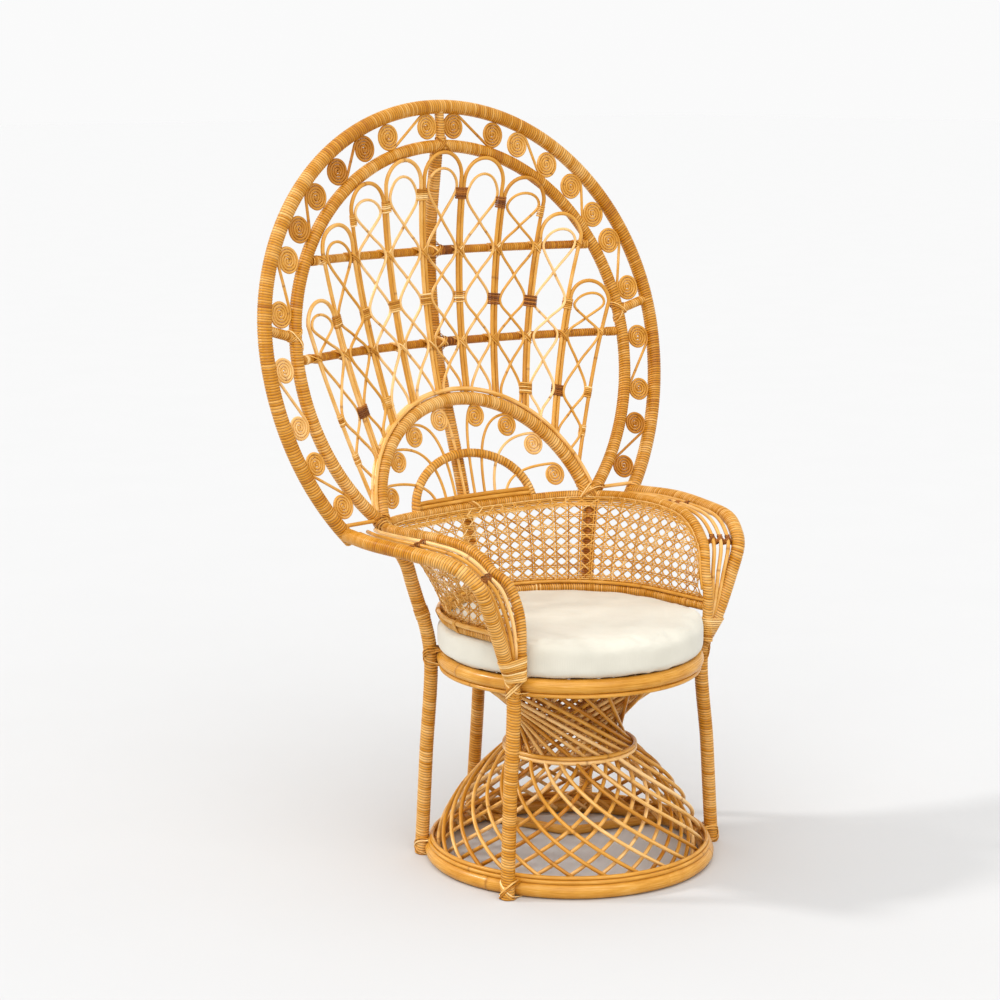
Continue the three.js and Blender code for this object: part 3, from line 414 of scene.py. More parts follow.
def drum_cane(start, hand, inset, lift):
    head = polar(SEAT_RING - 4 - inset, start, SEAT_HEIGHT + lift)
    waist = polar(WAIST_RING - inset, start + hand * math.radians(TWIST_ABOVE), WAIST_HEIGHT + lift)
    straight = head + (waist - head) * np.linspace(0, 0.97, 16)[:, None]
    t = np.linspace(0.02, 1, 26)
    spread = 1 - (1 - t) ** 1.8
    radius = WAIST_RING - inset + (FLOOR_RING - 8 - WAIST_RING) * spread
    turn = start + hand * np.radians(TWIST_ABOVE + TWIST_BELOW * t)
    dome = polar(radius, turn, WAIST_HEIGHT - lift + (FLOOR_HEIGHT - WAIST_HEIGHT + lift) * t)
    return bent_through(np.vstack([straight, dome]), 9)


def drum_layer(hand, inset, lift):
    starts = np.arange(DRUM_CANES) * 2 * np.pi / DRUM_CANES + rng.normal(0, 0.008, DRUM_CANES)
    return [cane(drum_cane(start, hand, inset, lift), rng.uniform(7.6, 8.6), 8, 9,
                 tone=rng.normal(0.28, 0.13)) for start in starts]


def waist_pair(out, rise, thickness):
    return [cane(ring(WAIST_RING + out, WAIST_HEIGHT + dz), thickness, 10, closed=True)
            for dz in (-rise, rise)]


outer_pair, inner_pair = waist_pair(6, 4.4, 8.6), waist_pair(-22, 4, 8)
bare_piece("drum_outer_canes", drum_layer(1, 0, 0) + outer_pair, "drum_canes_outer")
bare_piece("drum_inner_canes", drum_layer(-1, 15.5, 4) + inner_pair, "drum_canes_inner")

# %% Spreader on the floor, bowed in from the ring
t = np.linspace(0, 1, 60)
spreader = polar(FLOOR_RING - 158 * np.sin(np.pi * t) ** 0.7, np.radians(95.5 + 82.5 * t), 9.6)
bare_piece("floor_spreader_pole", [cane(respaced(spreader, 8), 19, 16)], "floor_spreader")

# %% [markdown]
# ## Hoops of the back
# Two wound hoops lean back together. Each is half an oval above its widest level and part of a longer oval
# below it. The lattice inside them is dished: one function gives its surface, so that every stake, loop,
# rail and arch lies on the same hollow.

# %% Outer and inner hoop
OUTER = {"half": 510, "mid": 1015, "rise": 470, "drop": 525, "back": 0}
INNER = {"half": 432, "mid": 1000, "rise": 406, "drop": 428, "back": 12}
DISH = {"half": 432, "mid": 930, "rise": 470, "drop": 700, "depth": 85}
HOOP_FOOT, RAIL_HEIGHT = 670, 671
OUTER_POLE, INNER_POLE = 29, 26


def hoop_plane(z):
    return 227 + (z - HOOP_FOOT) * math.tan(math.radians(12.3))


def lattice(u, z, back=0.0):
    """A place on the dished lattice: u sideways, z up, moved back by some depth."""
    u, z = np.broadcast_arrays(np.asarray(u, float), np.asarray(z, float))
    tall = (z - DISH["mid"]) / np.where(z > DISH["mid"], DISH["rise"], DISH["drop"])
    hollow = 1 - (u / DISH["half"]) ** 2 - tall**2
    return np.stack([u, hoop_plane(z) + DISH["depth"] * np.maximum(0, hollow) + back, z], axis=-1)


def on_hoop(hoop, angle):
    up = np.cos(angle)
    z = hoop["mid"] + up * np.where(up > 0, hoop["rise"], hoop["drop"])
    return np.stack([hoop["half"] * np.sin(angle), hoop_plane(z) + hoop["back"], z], axis=-1)


def foot_angle(hoop, foot):
    return math.acos((foot - hoop["mid"]) / hoop["drop"])


def hoop_line(hoop, foot):
    end = foot_angle(hoop, foot)
    return respaced(on_hoop(hoop, np.linspace(-end, end, 400)), 6)


outer_line, inner_line = hoop_line(OUTER, 656), hoop_line(INNER, RAIL_HEIGHT)
wrapped_piece("outer_hoop_wrapped", [wrapped(outer_line, OUTER_POLE, sides=16, tone=0.28)], "outer_hoop")
wrapped_piece("inner_hoop_wrapped", [wrapped(inner_line, INNER_POLE, tone=0.28)], "inner_hoop")

# %% [markdown]
# ## Struts and scrolls
# Between the hoops sit three short struts and twelve scrolls. A scroll is one cane wound into a flat spiral
# at both ends: it leaves the first spiral on the side of the outer hoop and enters the second on the side of
# the inner hoop. The straight stretch is the inner tangent of two circles, and the spirals are Archimedean,
# with little more than the cane's own thickness as their pitch, so that the turns touch.

# %% Struts
STRUT_POLE = 20


def between(angle, share):
    return on_hoop(INNER, angle) * (1 - share) + on_hoop(OUTER, angle) * share


strut_lines = {}
for side, degrees in (("top", 0), ("left", 83.2), ("right", -83.2)):
    ends = [between(math.radians(degrees), share) for share in (0.02, 0.98)]
    strut_lines[side] = respaced(np.stack(ends), 4)
    wrapped_piece(f"strut_{side}_wrapped", [wrapped(strut_lines[side], STRUT_POLE, 5, 12)],
                  f"hoop_strut_{side}")

# %% Edge scrolls
SCROLL, SCROLL_STEP = 5.8, 3.4
# The poles of the two hoops take up 28 mm between their lines, and a coil is pressed 3.2 mm into them.
HOOP_POLES, PRESSED_IN = 28, 3.2
SIDES = {"left": (1, 1, 1), "right": (-1, 1, 1)}


def coil(radius, pitch):
    """Radius and angle of a spiral from its outer end inwards."""
    count = (radius - 0.2 * pitch) / pitch
    wind = np.linspace(0, 2 * np.pi * count, int(count * 26))
    return radius - pitch * wind / (2 * np.pi), wind


def edge_scroll(angles):
    centres = [between(a, 0.5) for a in angles]
    gaps = [np.linalg.norm(between(a, 1) - between(a, 0)) for a in angles]
    radii = [(gap - HOOP_POLES) / 2 + PRESSED_IN - SCROLL / 2 for gap in gaps]
    along = unit(centres[1] - centres[0])
    outward = between(angles[0], 1) - between(angles[0], 0)
    side = unit(outward - along * (outward @ along))
    apart = np.linalg.norm(centres[1] - centres[0])
    touch = math.acos(sum(radii) / apart)
    flat = []
    for i in (0, 1):
        radius, wind = coil(radii[i], SCROLL * 1.02)
        turn = touch + i * math.pi + wind
        flat.append(np.stack([radius * np.cos(turn), radius * np.sin(turn)], axis=-1) + (i * apart, 0))
    route = np.vstack([flat[0][::-1], flat[1]])
    return respaced(centres[0] + route[:, :1] * along + route[:, 1:] * side, SCROLL_STEP)


# The angles of the two coils of each scroll, in degrees from the top of the hoops.
SCROLL_PAIRS = ((4.33, 16.91), (25.46, 35.86), (45.71, 55.58),
                (64.56, 78.25), (92.27, 105.46), (114.82, 126.67))
for number, pair in enumerate(SCROLL_PAIRS, 1):
    for side, turned in SIDES.items():
        line = edge_scroll(np.radians(pair)) * turned
        scroll = cane(line, SCROLL, 8, SCROLL_STEP, tone=rng.normal(0.18, 0.1))
        bare_piece(f"scroll_{side}_{number}", [scroll], f"edge_scroll_{side}_{number}")

# %% [markdown]
# ## Posts, legs and arms
# Each front post is one pole that rises from the floor, passes the seat ring and turns over as the outer
# rail of the arm. The inner rail is another: from the foot of one arm, round the back and down the other
# arm. The rear legs rise behind the band to the feet of the inner hoop, and a brace stands behind the
# middle. The points are the places where each pole was fixed while it set, most of them given as shares of
# the way sideways, back and up between two corners.

# %% Routes of the poles
UPPER_RAIL, LOWER_RAIL, CROSS_DEPTH = 1192, 1004, 14.9
# How far from the axis posts and brace stand at the floor and at the seat, and the brace's depth higher up.
FOOT_REACH, SEAT_REACH, BRACE_DEPTH = 306.4, 280.9, CROSS_DEPTH + 22.4


def mix(a, b, share):
    return a + (b - a) * share


outer_foot, inner_foot = on_hoop(OUTER, foot_angle(OUTER, HOOP_FOOT)), inner_line[-1]
post_angle, leg_angle = math.radians(65), math.radians(130.7)
post_foot, post_seat = polar(FOOT_REACH, post_angle, 0), polar(SEAT_REACH, post_angle, SEAT_HEIGHT)
arm_low = np.array([post_seat[0], -132, SEAT_HEIGHT])
arm_high = np.array([405, outer_foot[1], HOOP_FOOT])
arm_shares = np.array([
    (0.19, 0.01, 0.23), (0.42, 0, 0.54), (0.59, 0.01, 0.77), (0.68, 0.07, 0.87),
    (0.79, 0.17, 0.94), (0.92, 0.42, 0.98), (1, 0.7, 1)])
post_line = bent_through(np.vstack([
    post_foot, mix(post_foot, post_seat, 0.5), post_seat, mix(arm_low, arm_high, arm_shares), outer_foot]))
rail_side, rail_back = post_seat + (-5, -17, 0), np.array([0, 300, RAIL_HEIGHT])
rail_shares = np.array([
    (0, 0, 0.085), (0, 0, 0.46), (0.04, 0.02, 0.61), (0.25, 0.055, 0.77), (0.49, 0.108, 0.84),
    (0.6, 0.163, 0.92), (0.7, 0.243, 0.985), (0.87, 0.404, 1.02), (1, 0.587, 1.02), (0.92, 0.748, 1.01)])
rail_turn = [(inner_foot[0] * out, mix(inner_foot[1], rail_back[1], back), RAIL_HEIGHT)
             for out, back in ((0.83, 0.55), (0.5, 0.85))]
rail_half = np.vstack([mix(rail_side, rail_back + (304, 0, 0), rail_shares), inner_foot, rail_turn])
rail_line = bent_through(np.vstack([rail_half, rail_back, rail_half[::-1] * SIDES["right"]]), 5)
leg_foot, leg_seat = polar(298.4, leg_angle, 0), polar(277.9, leg_angle, SEAT_HEIGHT)
leg_top = np.append(inner_foot[:2] + 4 * unit(inner_foot[:2]), 659)
leg_shares = np.array([(0.13, 0.28), (0.27, 0.44), (0.4, 0.6), (0.53, 0.76), (0.8, 0.92)])[:, [0, 0, 1]]
leg_line = bent_through(np.vstack([
    leg_foot, mix(leg_foot, leg_seat, 0.5), leg_seat, mix(leg_seat, leg_top, leg_shares), leg_top]))
brace_line = bent_through([
    polar(FOOT_REACH, math.pi, 0), polar(SEAT_REACH, math.pi, SEAT_HEIGHT), (0, 324.4, RAIL_HEIGHT),
    lattice(0, 892, 29.4), lattice(0, LOWER_RAIL, BRACE_DEPTH), lattice(0, UPPER_RAIL, BRACE_DEPTH),
    inner_line[len(inner_line) // 2] + (0, 13, 0)])
print("post", round(lengths_along(post_line)[-1]), "mm, rail", round(lengths_along(rail_line)[-1]), "mm")

# %% Wrapped posts, legs, brace and rail
POST_POLE, BRACE_POLE, RAIL_POLE = 28, 27, 21
# Above the seat the left leg's peel is drawn dark: painted shade, where the leg stands in the shadow behind
# the band. The right leg's is a little darker than below.
LEG_HEADS = {"left": -0.3, "right": 0.32}
for side, turned in SIDES.items():
    post = wrapped(post_line * turned, POST_POLE, tone=0.32)
    wrapped_piece(f"post_{side}_wrapped", [post], f"front_post_{side}")
    leg = wrapped(leg_line * turned, POST_POLE, tone=0.36, head=LEG_HEADS[side])
    wrapped_piece(f"leg_{side}_wrapped", [leg], f"rear_leg_{side}")
wrapped_piece("brace_wrapped", [wrapped(brace_line, BRACE_POLE)], "rear_brace")
wrapped_piece("arm_back_rail_wrapped", [wrapped(rail_line, RAIL_POLE, sides=12)], "arm_back_rail")

# %% [markdown]
# ## Bound canes of the arms
# Three bare canes fill each arm between its two rails. They run beside each other and are bound at the bend.
# One more short cane lies across the feet of the two hoops.

# %% Arm canes
ARM_SHARES, ARM_CANE = (0.3, 0.51, 0.72), 8


def arm_place(share, t):
    """A place on the left arm: its share of the way out from the inner rail, and its share along the arm."""
    outside = picked(post_line, mix(0.47, 0.985, t) * lengths_along(post_line)[-1])
    inside = picked(rail_line, mix(0.03, 0.33, t) * lengths_along(rail_line)[-1])
    return mix(inside, outside, share)


arm_lines = [arm_place(share, np.linspace(-0.03, 0.99, 60)) for share in ARM_SHARES]
arm_lines.append(np.linspace(outer_foot + (6, 0, 17), inner_foot + (-4, 0, 15), 12))
for side, turned in SIDES.items():
    canes = [cane(respaced(line * turned, 8), ARM_CANE, 10) for line in arm_lines]
    bare_piece(f"arm_canes_{side}_bare", canes, f"arm_canes_{side}")

# %% [markdown]
# ## Arch on the back rail
# A wound arch with two bare canes on its outer edge stands on the back rail. Eight scrolls rise from the
# rail through a smaller arch: each stem bends over outwards and winds into a spiral under the big arch.

# %% Arch and its scrolls
ARCH_POLE, ARCH_COIL = 28, 25.5
# The ovals of the arch's outer edge and of the coils' middles, above the back rail.
EDGE_HALF, EDGE_RISE, COILS_HALF, COILS_RISE = 274.5, 231.5, 226, 183


def arch_line(half, top, spread=0.0, forward=0.0):
    """Half an oval on the lattice; its feet spread and come forward to stand on the rail."""
    angle = np.linspace(-np.pi / 2, np.pi / 2, 160)
    foot = (1 - np.cos(angle)) ** 2
    line = lattice(half * np.sin(angle) + spread * foot * np.sign(angle),
                   RAIL_HEIGHT + (top - RAIL_HEIGHT) * np.cos(angle))
    return respaced(line - np.outer(foot, (0, forward, 0)), 5)


def arch_stem(foot, degrees):
    angle = math.radians(degrees)
    u, z = COILS_HALF * math.sin(angle), RAIL_HEIGHT + COILS_RISE * math.cos(angle)
    reach = ARCH_COIL - SCROLL / 2
    t = np.linspace(0, 1, 30)[:, None]
    rise = (1 - t) ** 2 * (foot, RAIL_HEIGHT) + 2 * t * (1 - t) * (foot, z + reach) + t**2 * (u, z + reach)
    radius, wind = coil(reach, 5.9)
    spiral = np.stack([u + radius * np.sin(wind), z + radius * np.cos(wind)], axis=-1)
    flat = np.vstack([rise, spiral[1:]])
    return respaced(lattice(flat[:, 0], flat[:, 1]), SCROLL_STEP)


arch = arch_line(262, 889, 12, 20)
wrapped_piece("arch_wrapped", [wrapped(arch, ARCH_POLE, 5.6)], "arch_hoop")
bare_piece("arch_trim_canes", [cane(arch_line(281, 909, 10, 20) + (0, back, 0), size, 10)
                               for back, size in ((-3, 9.5), (6, 8))])
# Where each stem stands on the rail, and the angle of its coil from the top of the arch.
STEMS = ((13, 12), (39, 33), (65, 53), (91, 76))
bare_piece("arch_scrolls_bare", [cane(arch_stem(*stem) * turned, SCROLL, 8, SCROLL_STEP)
                                 for stem in STEMS for turned in SIDES.values()], "arch_scrolls")
wrapped_piece("small_arch_wrapped", [wrapped(arch_line(156, 778), 19, 7, 12, 1.0, 0.36)])
over_rail = rail_line[(np.abs(rail_line[:, 0]) < 150) & (rail_line[:, 1] > 0)]
bare_piece("back_rail_strip", [cane(over_rail + (0, back, up), 9, 10)
                               for back, up in ((1, 14.2), (4, 22.4))])

# %% [markdown]
# ## Stakes and loops
# Nine hairpins of cane fan out from the arch to the inner hoop, with two legs side by side on each line. A
# thinner loop hangs in each hairpin, and its legs swap sides between one row of ties and the next, which
# draws the chain of diamonds. A hairpin's foot and top are found by halving a range until it just fits.
# Two wound cross rails lie behind them all.

# %% Lines of the stakes
STAKE, LOOP, MID_ROW = 8.2, 5.9, 1092
STAKE_PITCH, FAN, WIDENING = 87.98, 0.075, 0.002


def stake_line(k, z):
    """How far sideways the k-th line of stakes lies at a height: the lines fan out upwards."""
    return (STAKE_PITCH + FAN * (z - MID_ROW)) * (k + WIDENING * k**3)


def bay_edges(bay, z, margin):
    return stake_line(bay - 0.5, z) + margin, stake_line(bay + 0.5, z) - margin


def arch_edge(u):
    return RAIL_HEIGHT + EDGE_RISE * np.sqrt(1 - np.clip(np.abs(u) / EDGE_HALF, 0, 1) ** 2)


def highest(low, high, fits, rounds):
    for _ in range(rounds):
        middle = (low + high) / 2
        low, high = (middle, high) if fits(middle) else (low, middle)
    return low


def line_foot(k):
    return highest(RAIL_HEIGHT, 922, lambda z: arch_edge(stake_line(k, z)) > z, 30)


print("feet of the lines:", [round(line_foot(k + 0.5)) for k in range(5)])

# %% Stakes
HOOP_ROOM, LAST_BAY = 17.6, 4


def hairpin(bay, top):
    room = STAKE / 2
    a, b = bay_edges(bay, top, room)
    spring = top - (b - a) / 2
    left, right = bay_edges(bay, spring, room)
    rise = [np.linspace(line_foot(bay + half), spring, 40) for half in (-0.5, 0.5)]
    legs = [lattice(bay_edges(bay, z, room)[i], z) for i, z in enumerate(rise)]
    angle = np.linspace(0, np.pi, 30)[1:-1]
    crown = lattice((left + right - (right - left) * np.cos(angle)) / 2,
                    spring + (top - spring) * np.sin(angle))
    return np.vstack([legs[0], crown, legs[1][::-1]]), spring


def hairpin_top(bay):
    def clear_of_hoop(top):
        apart = hairpin(bay, top)[0][:, None] - inner_line[None]
        return np.linalg.norm(apart, axis=-1).min() > HOOP_ROOM

    return highest(LOWER_RAIL, 1406, clear_of_hoop, 12) - (20 if abs(bay) == LAST_BAY else 0)


bays = range(-LAST_BAY, LAST_BAY + 1)
tops = {bay: hairpin_top(bay) for bay in bays}
springs = {}
for bay in bays:
    line, springs[bay] = hairpin(bay, tops[bay])
    bare_piece(f"stake_{bay + 5}_bare", [cane(respaced(line, 7), STAKE, 10, 7)], f"stake_{bay + 5}")
print("tops of the hairpins:", [round(v) for v in tops.values()])

# %% Loops
# The heights of the rows of ties in the middle of the back, and how far each row falls to the sides.
ROWS = (1320, UPPER_RAIL, 1100, LOWER_RAIL, 920, 800)
SLOPES = (0.25, 0, 0.1, 0, 0.1, 0)
LOOP_MARGIN = STAKE + LOOP / 2 + 0.6


def row_heights(k):
    u = abs(stake_line(k, MID_ROW))
    return [z - slope * u for z, slope in zip(ROWS, SLOPES)]


def loop_line(bay):
    top = tops[bay] - (27 if abs(bay) == LAST_BAY else 33)
    ties = [z for z in row_heights(bay) if z < top - 20]

    def spot(side, z, layer):
        left, right = bay_edges(bay, z, LOOP_MARGIN)
        return lattice(mix(left, right, (side + 1) / 2), z, layer * (LOOP / 2 + 0.4))

    def leg(side):
        places, reached = [], side
        for n in np.arange(0, len(ties), 0.5):
            row = min(int(n), len(ties) - 2)
            swing = side * math.cos(math.pi * n)
            place = spot(swing, mix(ties[row], ties[row + 1], n - row), side)
            if place[2] < arch_edge(place[0]):
                break
            places.append(place)
            reached = swing
        return places + [spot(reached, arch_edge(places[-1][0]), side)]

    turn = np.pi * np.arange(1, 6) / 6
    crown = [spot(-math.cos(a), mix(ties[0], top, math.sin(a)), -math.cos(a)) for a in turn]
    return bent_through(leg(-1)[::-1] + crown + leg(1), 6)


for bay in bays:
    bare_piece(f"loop_{bay + 5}_bare", [cane(loop_line(bay), LOOP, 8, 6)], f"loop_{bay + 5}")

# %% Cross rails
CROSS_POLE = 17.5


def cross_line(z):
    half = INNER["half"] * math.sqrt(1 - ((z - INNER["mid"]) / INNER["rise"]) ** 2)
    return respaced(lattice(np.linspace(-half, half, 160), z, CROSS_DEPTH), 5)


cross_lines = {z: cross_line(z) for z in (UPPER_RAIL, LOWER_RAIL)}
for name, line in zip(("upper", "lower"), cross_lines.values()):
    wrapped_piece(f"{name}_cross_rail_wrapped", [wrapped(line, CROSS_POLE, 5, 12, tone=0.18)],
                  f"{name}_cross_rail")

# %% [markdown]
# ## Ties and lashings
# Every joint is bound with peel. A tie is a few turns round canes that lie side by side; a lashing is the
# same thing wound twice on the slant, so that it makes an X. Both follow the tightest loop round the
# sections of the poles, which is their convex hull.

# %% Turns of peel
TIE_WIDTH, LASHING_WIDTH, BINDING_WIDTH, TIE_THICKNESS = 3.8, 4.2, 4.4, 1.7


def wound(poles, facing, turns, width=TIE_WIDTH, lift=0.5, tone=0.2):
    """Turns of peel round poles, each (point, direction, thickness); facing is the way across the turns."""
    facing = unit(facing)
    side = unit(np.cross(facing, (0.31, 0.52, 0.8)))
    second = np.cross(facing, side)
    around = np.linspace(0, 2 * np.pi, 24, endpoint=False)[:, None]
    strands = []
    for k in range(turns):
        level = poles[0][0] @ facing + (k - (turns - 1) / 2) * width
        rims = []
        for point, direction, thickness in poles:
            direction = unit(direction)
            slope = direction @ facing
            middle = point + direction * (level - point @ facing) / slope
            flat = direction - facing * slope
            flat = unit(flat) if np.linalg.norm(flat) > 0.01 else side
            radius = thickness / 2 + lift
            rims.append(middle + np.cos(around) * flat * min(1 / abs(slope), 2.0) * radius
                        + np.sin(around) * np.cross(facing, flat) * radius)
        rim = np.vstack(rims)
        hull = geometry.convex_hull_2d([Vector((p @ side, p @ second)) for p in rim])
        loop = respaced(np.vstack([rim[hull], rim[hull[:1]]]), 4.5)[:-1]
        strands.append(tube(loop, oval(6, TIE_THICKNESS, 0.94 * width), True, loop - loop.mean(axis=0),
                            tone=rng.normal(tone, 0.15)))
    return strands


def lashed(a, b, turns, width):
    """Two poles bound crosswise, each given as (point, direction, thickness)."""
    along, over = unit(a[1]), unit(b[1])
    return wound([a, b], along + over, turns, width) + wound([a, b], along - over, turns, width, 1.4)


def at(line, place, thickness):
    """A pole's nearest point to a place, with its direction there."""
    i = int(np.clip(np.argmin(np.linalg.norm(line - place, axis=1)), 1, len(line) - 2))
    return line[i], line[i + 1] - line[i - 1], thickness


print("a turn of peel:", TIE_WIDTH, "mm wide and", TIE_THICKNESS, "mm thick")

# %% Ties of the lattice
# The line of stakes and the row of each smoked tie.
SMOKED_TIES = {(0.5, 0), (1.5, 0), (1.5, 2), (2.5, 2), (-3.5, 4), (3.5, 4)}
pale_ties, smoked_ties = [], []
for half in np.arange(-4.5, 5, 1):
    beside = [bay for bay in (round(half - 0.5), round(half + 0.5)) if bay in tops]
    for row, z in enumerate(row_heights(half)):
        u = stake_line(half, z)
        canes = []
        for bay in beside:
            hand = -1 if bay < half else 1
            if z < springs[bay] + 12:
                canes.append((hand * STAKE / 2, STAKE))
            if z < tops[bay] - 57:
                canes.append((hand * LOOP_MARGIN, LOOP))
        if len(canes) < 2 or z < arch_edge(u) + 35:
            continue
        along = lattice(stake_line(half, z + 1), z + 1) - lattice(u, z)
        poles = [(lattice(u + shift, z), along, size) for shift, size in canes]
        if ROWS[row] in cross_lines:
            rail = at(cross_lines[ROWS[row]], lattice(u, z, CROSS_DEPTH), 16)
            pair = [p for p in poles if p[2] == STAKE]
            for slant in (1, -1):
                pale_ties += wound(pair + [rail], unit(along) + slant * unit(rail[1]), 2,
                                   lift=0.3 + 0.6 * slant)
        else:
            ties = smoked_ties if (half, row) in SMOKED_TIES else pale_ties
            ties += wound(poles, along, 6, 4.0)
piece("lattice_ties_pale", pale_ties, WOVEN, "bare_rattan")
piece("lattice_ties_smoked", smoked_ties, SMOKED, "wrapped_rattan")

# %% Lashings of the frame
def crossing(a, a_size, b, b_size, place, turns=3, width=LASHING_WIDTH):
    return lashed(at(a, place, a_size), at(b, place, b_size), turns, width)


def at_height(line, z):
    return line[np.argmin(np.abs(line[:, 2] - z))]


pale_lashings, smoked_lashings = [], []
low_rings = ((ring(SEAT_RING, SEAT_HEIGHT), SEAT_POLE, SEAT_HEIGHT, 3),
             (ring(FLOOR_RING, FLOOR_HEIGHT), FLOOR_POLE, 16, 2))
uprights = [(line * turned, POST_POLE) for line in (post_line, leg_line) for turned in SIDES.values()]
for upright, size in uprights + [(brace_line, BRACE_POLE)]:
    for low_ring, ring_size, z, turns in low_rings:
        pale_lashings += crossing(upright, size, low_ring, ring_size, at_height(upright, z), turns)
for line in strut_lines.values():
    pale_lashings += crossing(line, STRUT_POLE, inner_line, INNER_POLE, line[0], 2, 3.6)
for turned in SIDES.values():
    pale_lashings += crossing(inner_line, INNER_POLE, rail_line, RAIL_POLE, inner_foot * turned)
    pale_lashings += crossing(arch, ARCH_POLE, rail_line, RAIL_POLE, arch[-1] * turned)
    for line in cross_lines.values():
        end = at(line, line[-6] * turned, CROSS_POLE)
        pale_lashings += wound([end], end[1], 5, LASHING_WIDTH)
pale_lashings += crossing(brace_line, BRACE_POLE, rail_line, RAIL_POLE, rail_line[len(rail_line) // 2])
for line in cross_lines.values():
    beside = picked(line, lengths_along(line)[-1] / 2 + 24)
    smoked_lashings += wound([at(line, beside, CROSS_POLE)], (1, 0, 0), 9)
    pale_lashings += crossing(brace_line, BRACE_POLE, line, CROSS_POLE, line[len(line) // 2], 2)
print("turns of peel on the frame:", len(pale_lashings), "pale and", len(smoked_lashings), "smoked")

# %% Bindings of the arms
STICK, STICK_DROP = 9, 8
stick_lines = []
for turned in SIDES.values():
    post, rail = post_line * turned, rail_line * turned
    spot = at_height(post, 446)
    pale_lashings += wound([at(post, spot, POST_POLE), at(rail, spot, RAIL_POLE)],
                           np.multiply((0.16, 0, 1), turned), 11, BINDING_WIDTH, tone=0.3)
    for t in (0.32, 0.65):
        ends = np.stack([arm_place(share, t) for share in (0.08, 0.92)]) * turned - (0, 0, STICK_DROP)
        stick_lines.append(respaced(ends, 4))
        for share in ARM_SHARES:
            spot = arm_place(share, t) * turned
            ahead = arm_place(share, t + 0.01) * turned - spot
            smoked_lashings += lashed((spot, ahead, ARM_CANE),
                                      (spot - (0, 0, STICK_DROP), ends[1] - ends[0], STICK), 2, 3.0)
wrapped_piece("arm_cross_sticks", [wrapped(line, STICK, 4, 10, 0.6) for line in stick_lines])
piece("frame_lashings_pale", pale_lashings, WOVEN, "wrapped_rattan")
piece("frame_lashings_smoked", smoked_lashings, SMOKED, "wrapped_rattan")

# %% [markdown]
# ## Cane band
# The band round the seat is cane webbing: pairs of upright and level strands with two sets of diagonals,
# which leave eight-sided holes. A pierced sheet or a transparent pattern would lose the strands' thickness
# and their shadows, so each strand is laid on the band's surface. That surface runs from the foot rail to
# the inner side of the arm rail and is drawn in a little between them, as a stretched sheet is. Outside its
# foot runs one more bare cane, tied to the foot rail.

# %% Foot rail
FOOT_POLE = 18.5
foot_start = math.atan2(rail_side[0], -rail_side[1])


def foot_radius(angle):
    """Distance of the foot rail from the axis, at an angle from straight ahead."""
    end = np.minimum(angle, 2 * np.pi - angle) - foot_start
    flare = np.clip(1 - end / math.radians(28), 0, 1) ** 2
    return mix(SEAT_RING, math.hypot(*rail_side[:2]), flare)


def round_the_seat(out, z, step):
    """A level line that keeps its distance from the foot rail's."""
    angle = np.linspace(foot_start, 2 * math.pi - foot_start, 400)
    return respaced(polar(foot_radius(angle) + out, angle, z), step)


foot_line = round_the_seat(0, 495, 5)
wrapped_piece("band_foot_rail_wrapped", [wrapped(foot_line, FOOT_POLE, 5, 12)], "band_foot_rail")
bare_piece("band_foot_bead", [cane(round_the_seat(-3, 508, 6), 7.5, 8)])

# %% Outer cane of the band's foot
OUTER_CANE = 10
outer_cane = round_the_seat(10, 506, 6)
bare_piece("band_foot_outer_cane", [cane(outer_cane, OUTER_CANE, 10, tone=0.3)])
foot_ties = []
for spot in picked(outer_cane, np.linspace(0.06, 0.94, 9) * lengths_along(outer_cane)[-1]):
    both = [at(foot_line, spot, FOOT_POLE), at(outer_cane, spot, OUTER_CANE)]
    foot_ties += wound(both, both[1][1], 3, 4)
for turned in SIDES.values():
    leg = leg_line * turned
    bound = at(leg, at_height(leg, 500), POST_POLE)
    foot_ties += wound([bound], bound[1], 5, BINDING_WIDTH)
piece("band_foot_ties", foot_ties, WOVEN, "wrapped_rattan")

# %% Surface of the band
# The band reaches 118 degrees to each side of straight back, and the rail is measured a little further.
BAND_FOOT, BAND_REACH, RAIL_REACH = 509.0, math.radians(118), math.radians(118.4)
RAIL_INSET, DRAWN_IN = 11.5, 40
behind = np.arctan2(rail_line[:, 0], rail_line[:, 1])
order = np.argsort(behind)
order = order[np.abs(behind[order]) < RAIL_REACH]


def level_out(place):
    """The level direction from the drum's axis to a place."""
    return unit(place * np.array((1, 1, 0)))


def band_head(angle):
    spot = np.stack([np.interp(angle, behind[order], rail_line[order, i]) for i in range(3)], axis=-1)
    return spot - RAIL_INSET * level_out(spot)


def band_spot(angle, z, lift=0.0):
    """A place on the band by its angle from straight back and its height, moved outwards by lift."""
    head = band_head(angle)
    share = (z - BAND_FOOT) / (head[..., 2] - BAND_FOOT)
    reach = mix(foot_radius(np.pi - np.abs(angle)), np.linalg.norm(head[..., :2], axis=-1), share)
    reach = reach - DRAWN_IN * share * (1 - share) + lift
    return level_out(head) * reach[..., None] + np.stack([0 * z, 0 * z, z], axis=-1)


band_turns = np.linspace(-BAND_REACH, BAND_REACH, 800)
girth = lengths_along(band_spot(band_turns, (BAND_FOOT + band_head(band_turns)[:, 2]) / 2))
girth -= girth[-1] / 2
print("band:", round(2 * girth[-1]), "mm round the seat")

# %% Webbing
PITCH, ROW, SHIFT, FIRST_ROW, BAND_ROWS = 26.9, 19.4, 8.5, BAND_FOOT + 9.5, 8


def ripple(size, place, pitch, flip=0):
    """How a strand goes over and under the ones it crosses."""
    return size * np.cos(2 * np.pi * place / pitch + np.pi * flip)


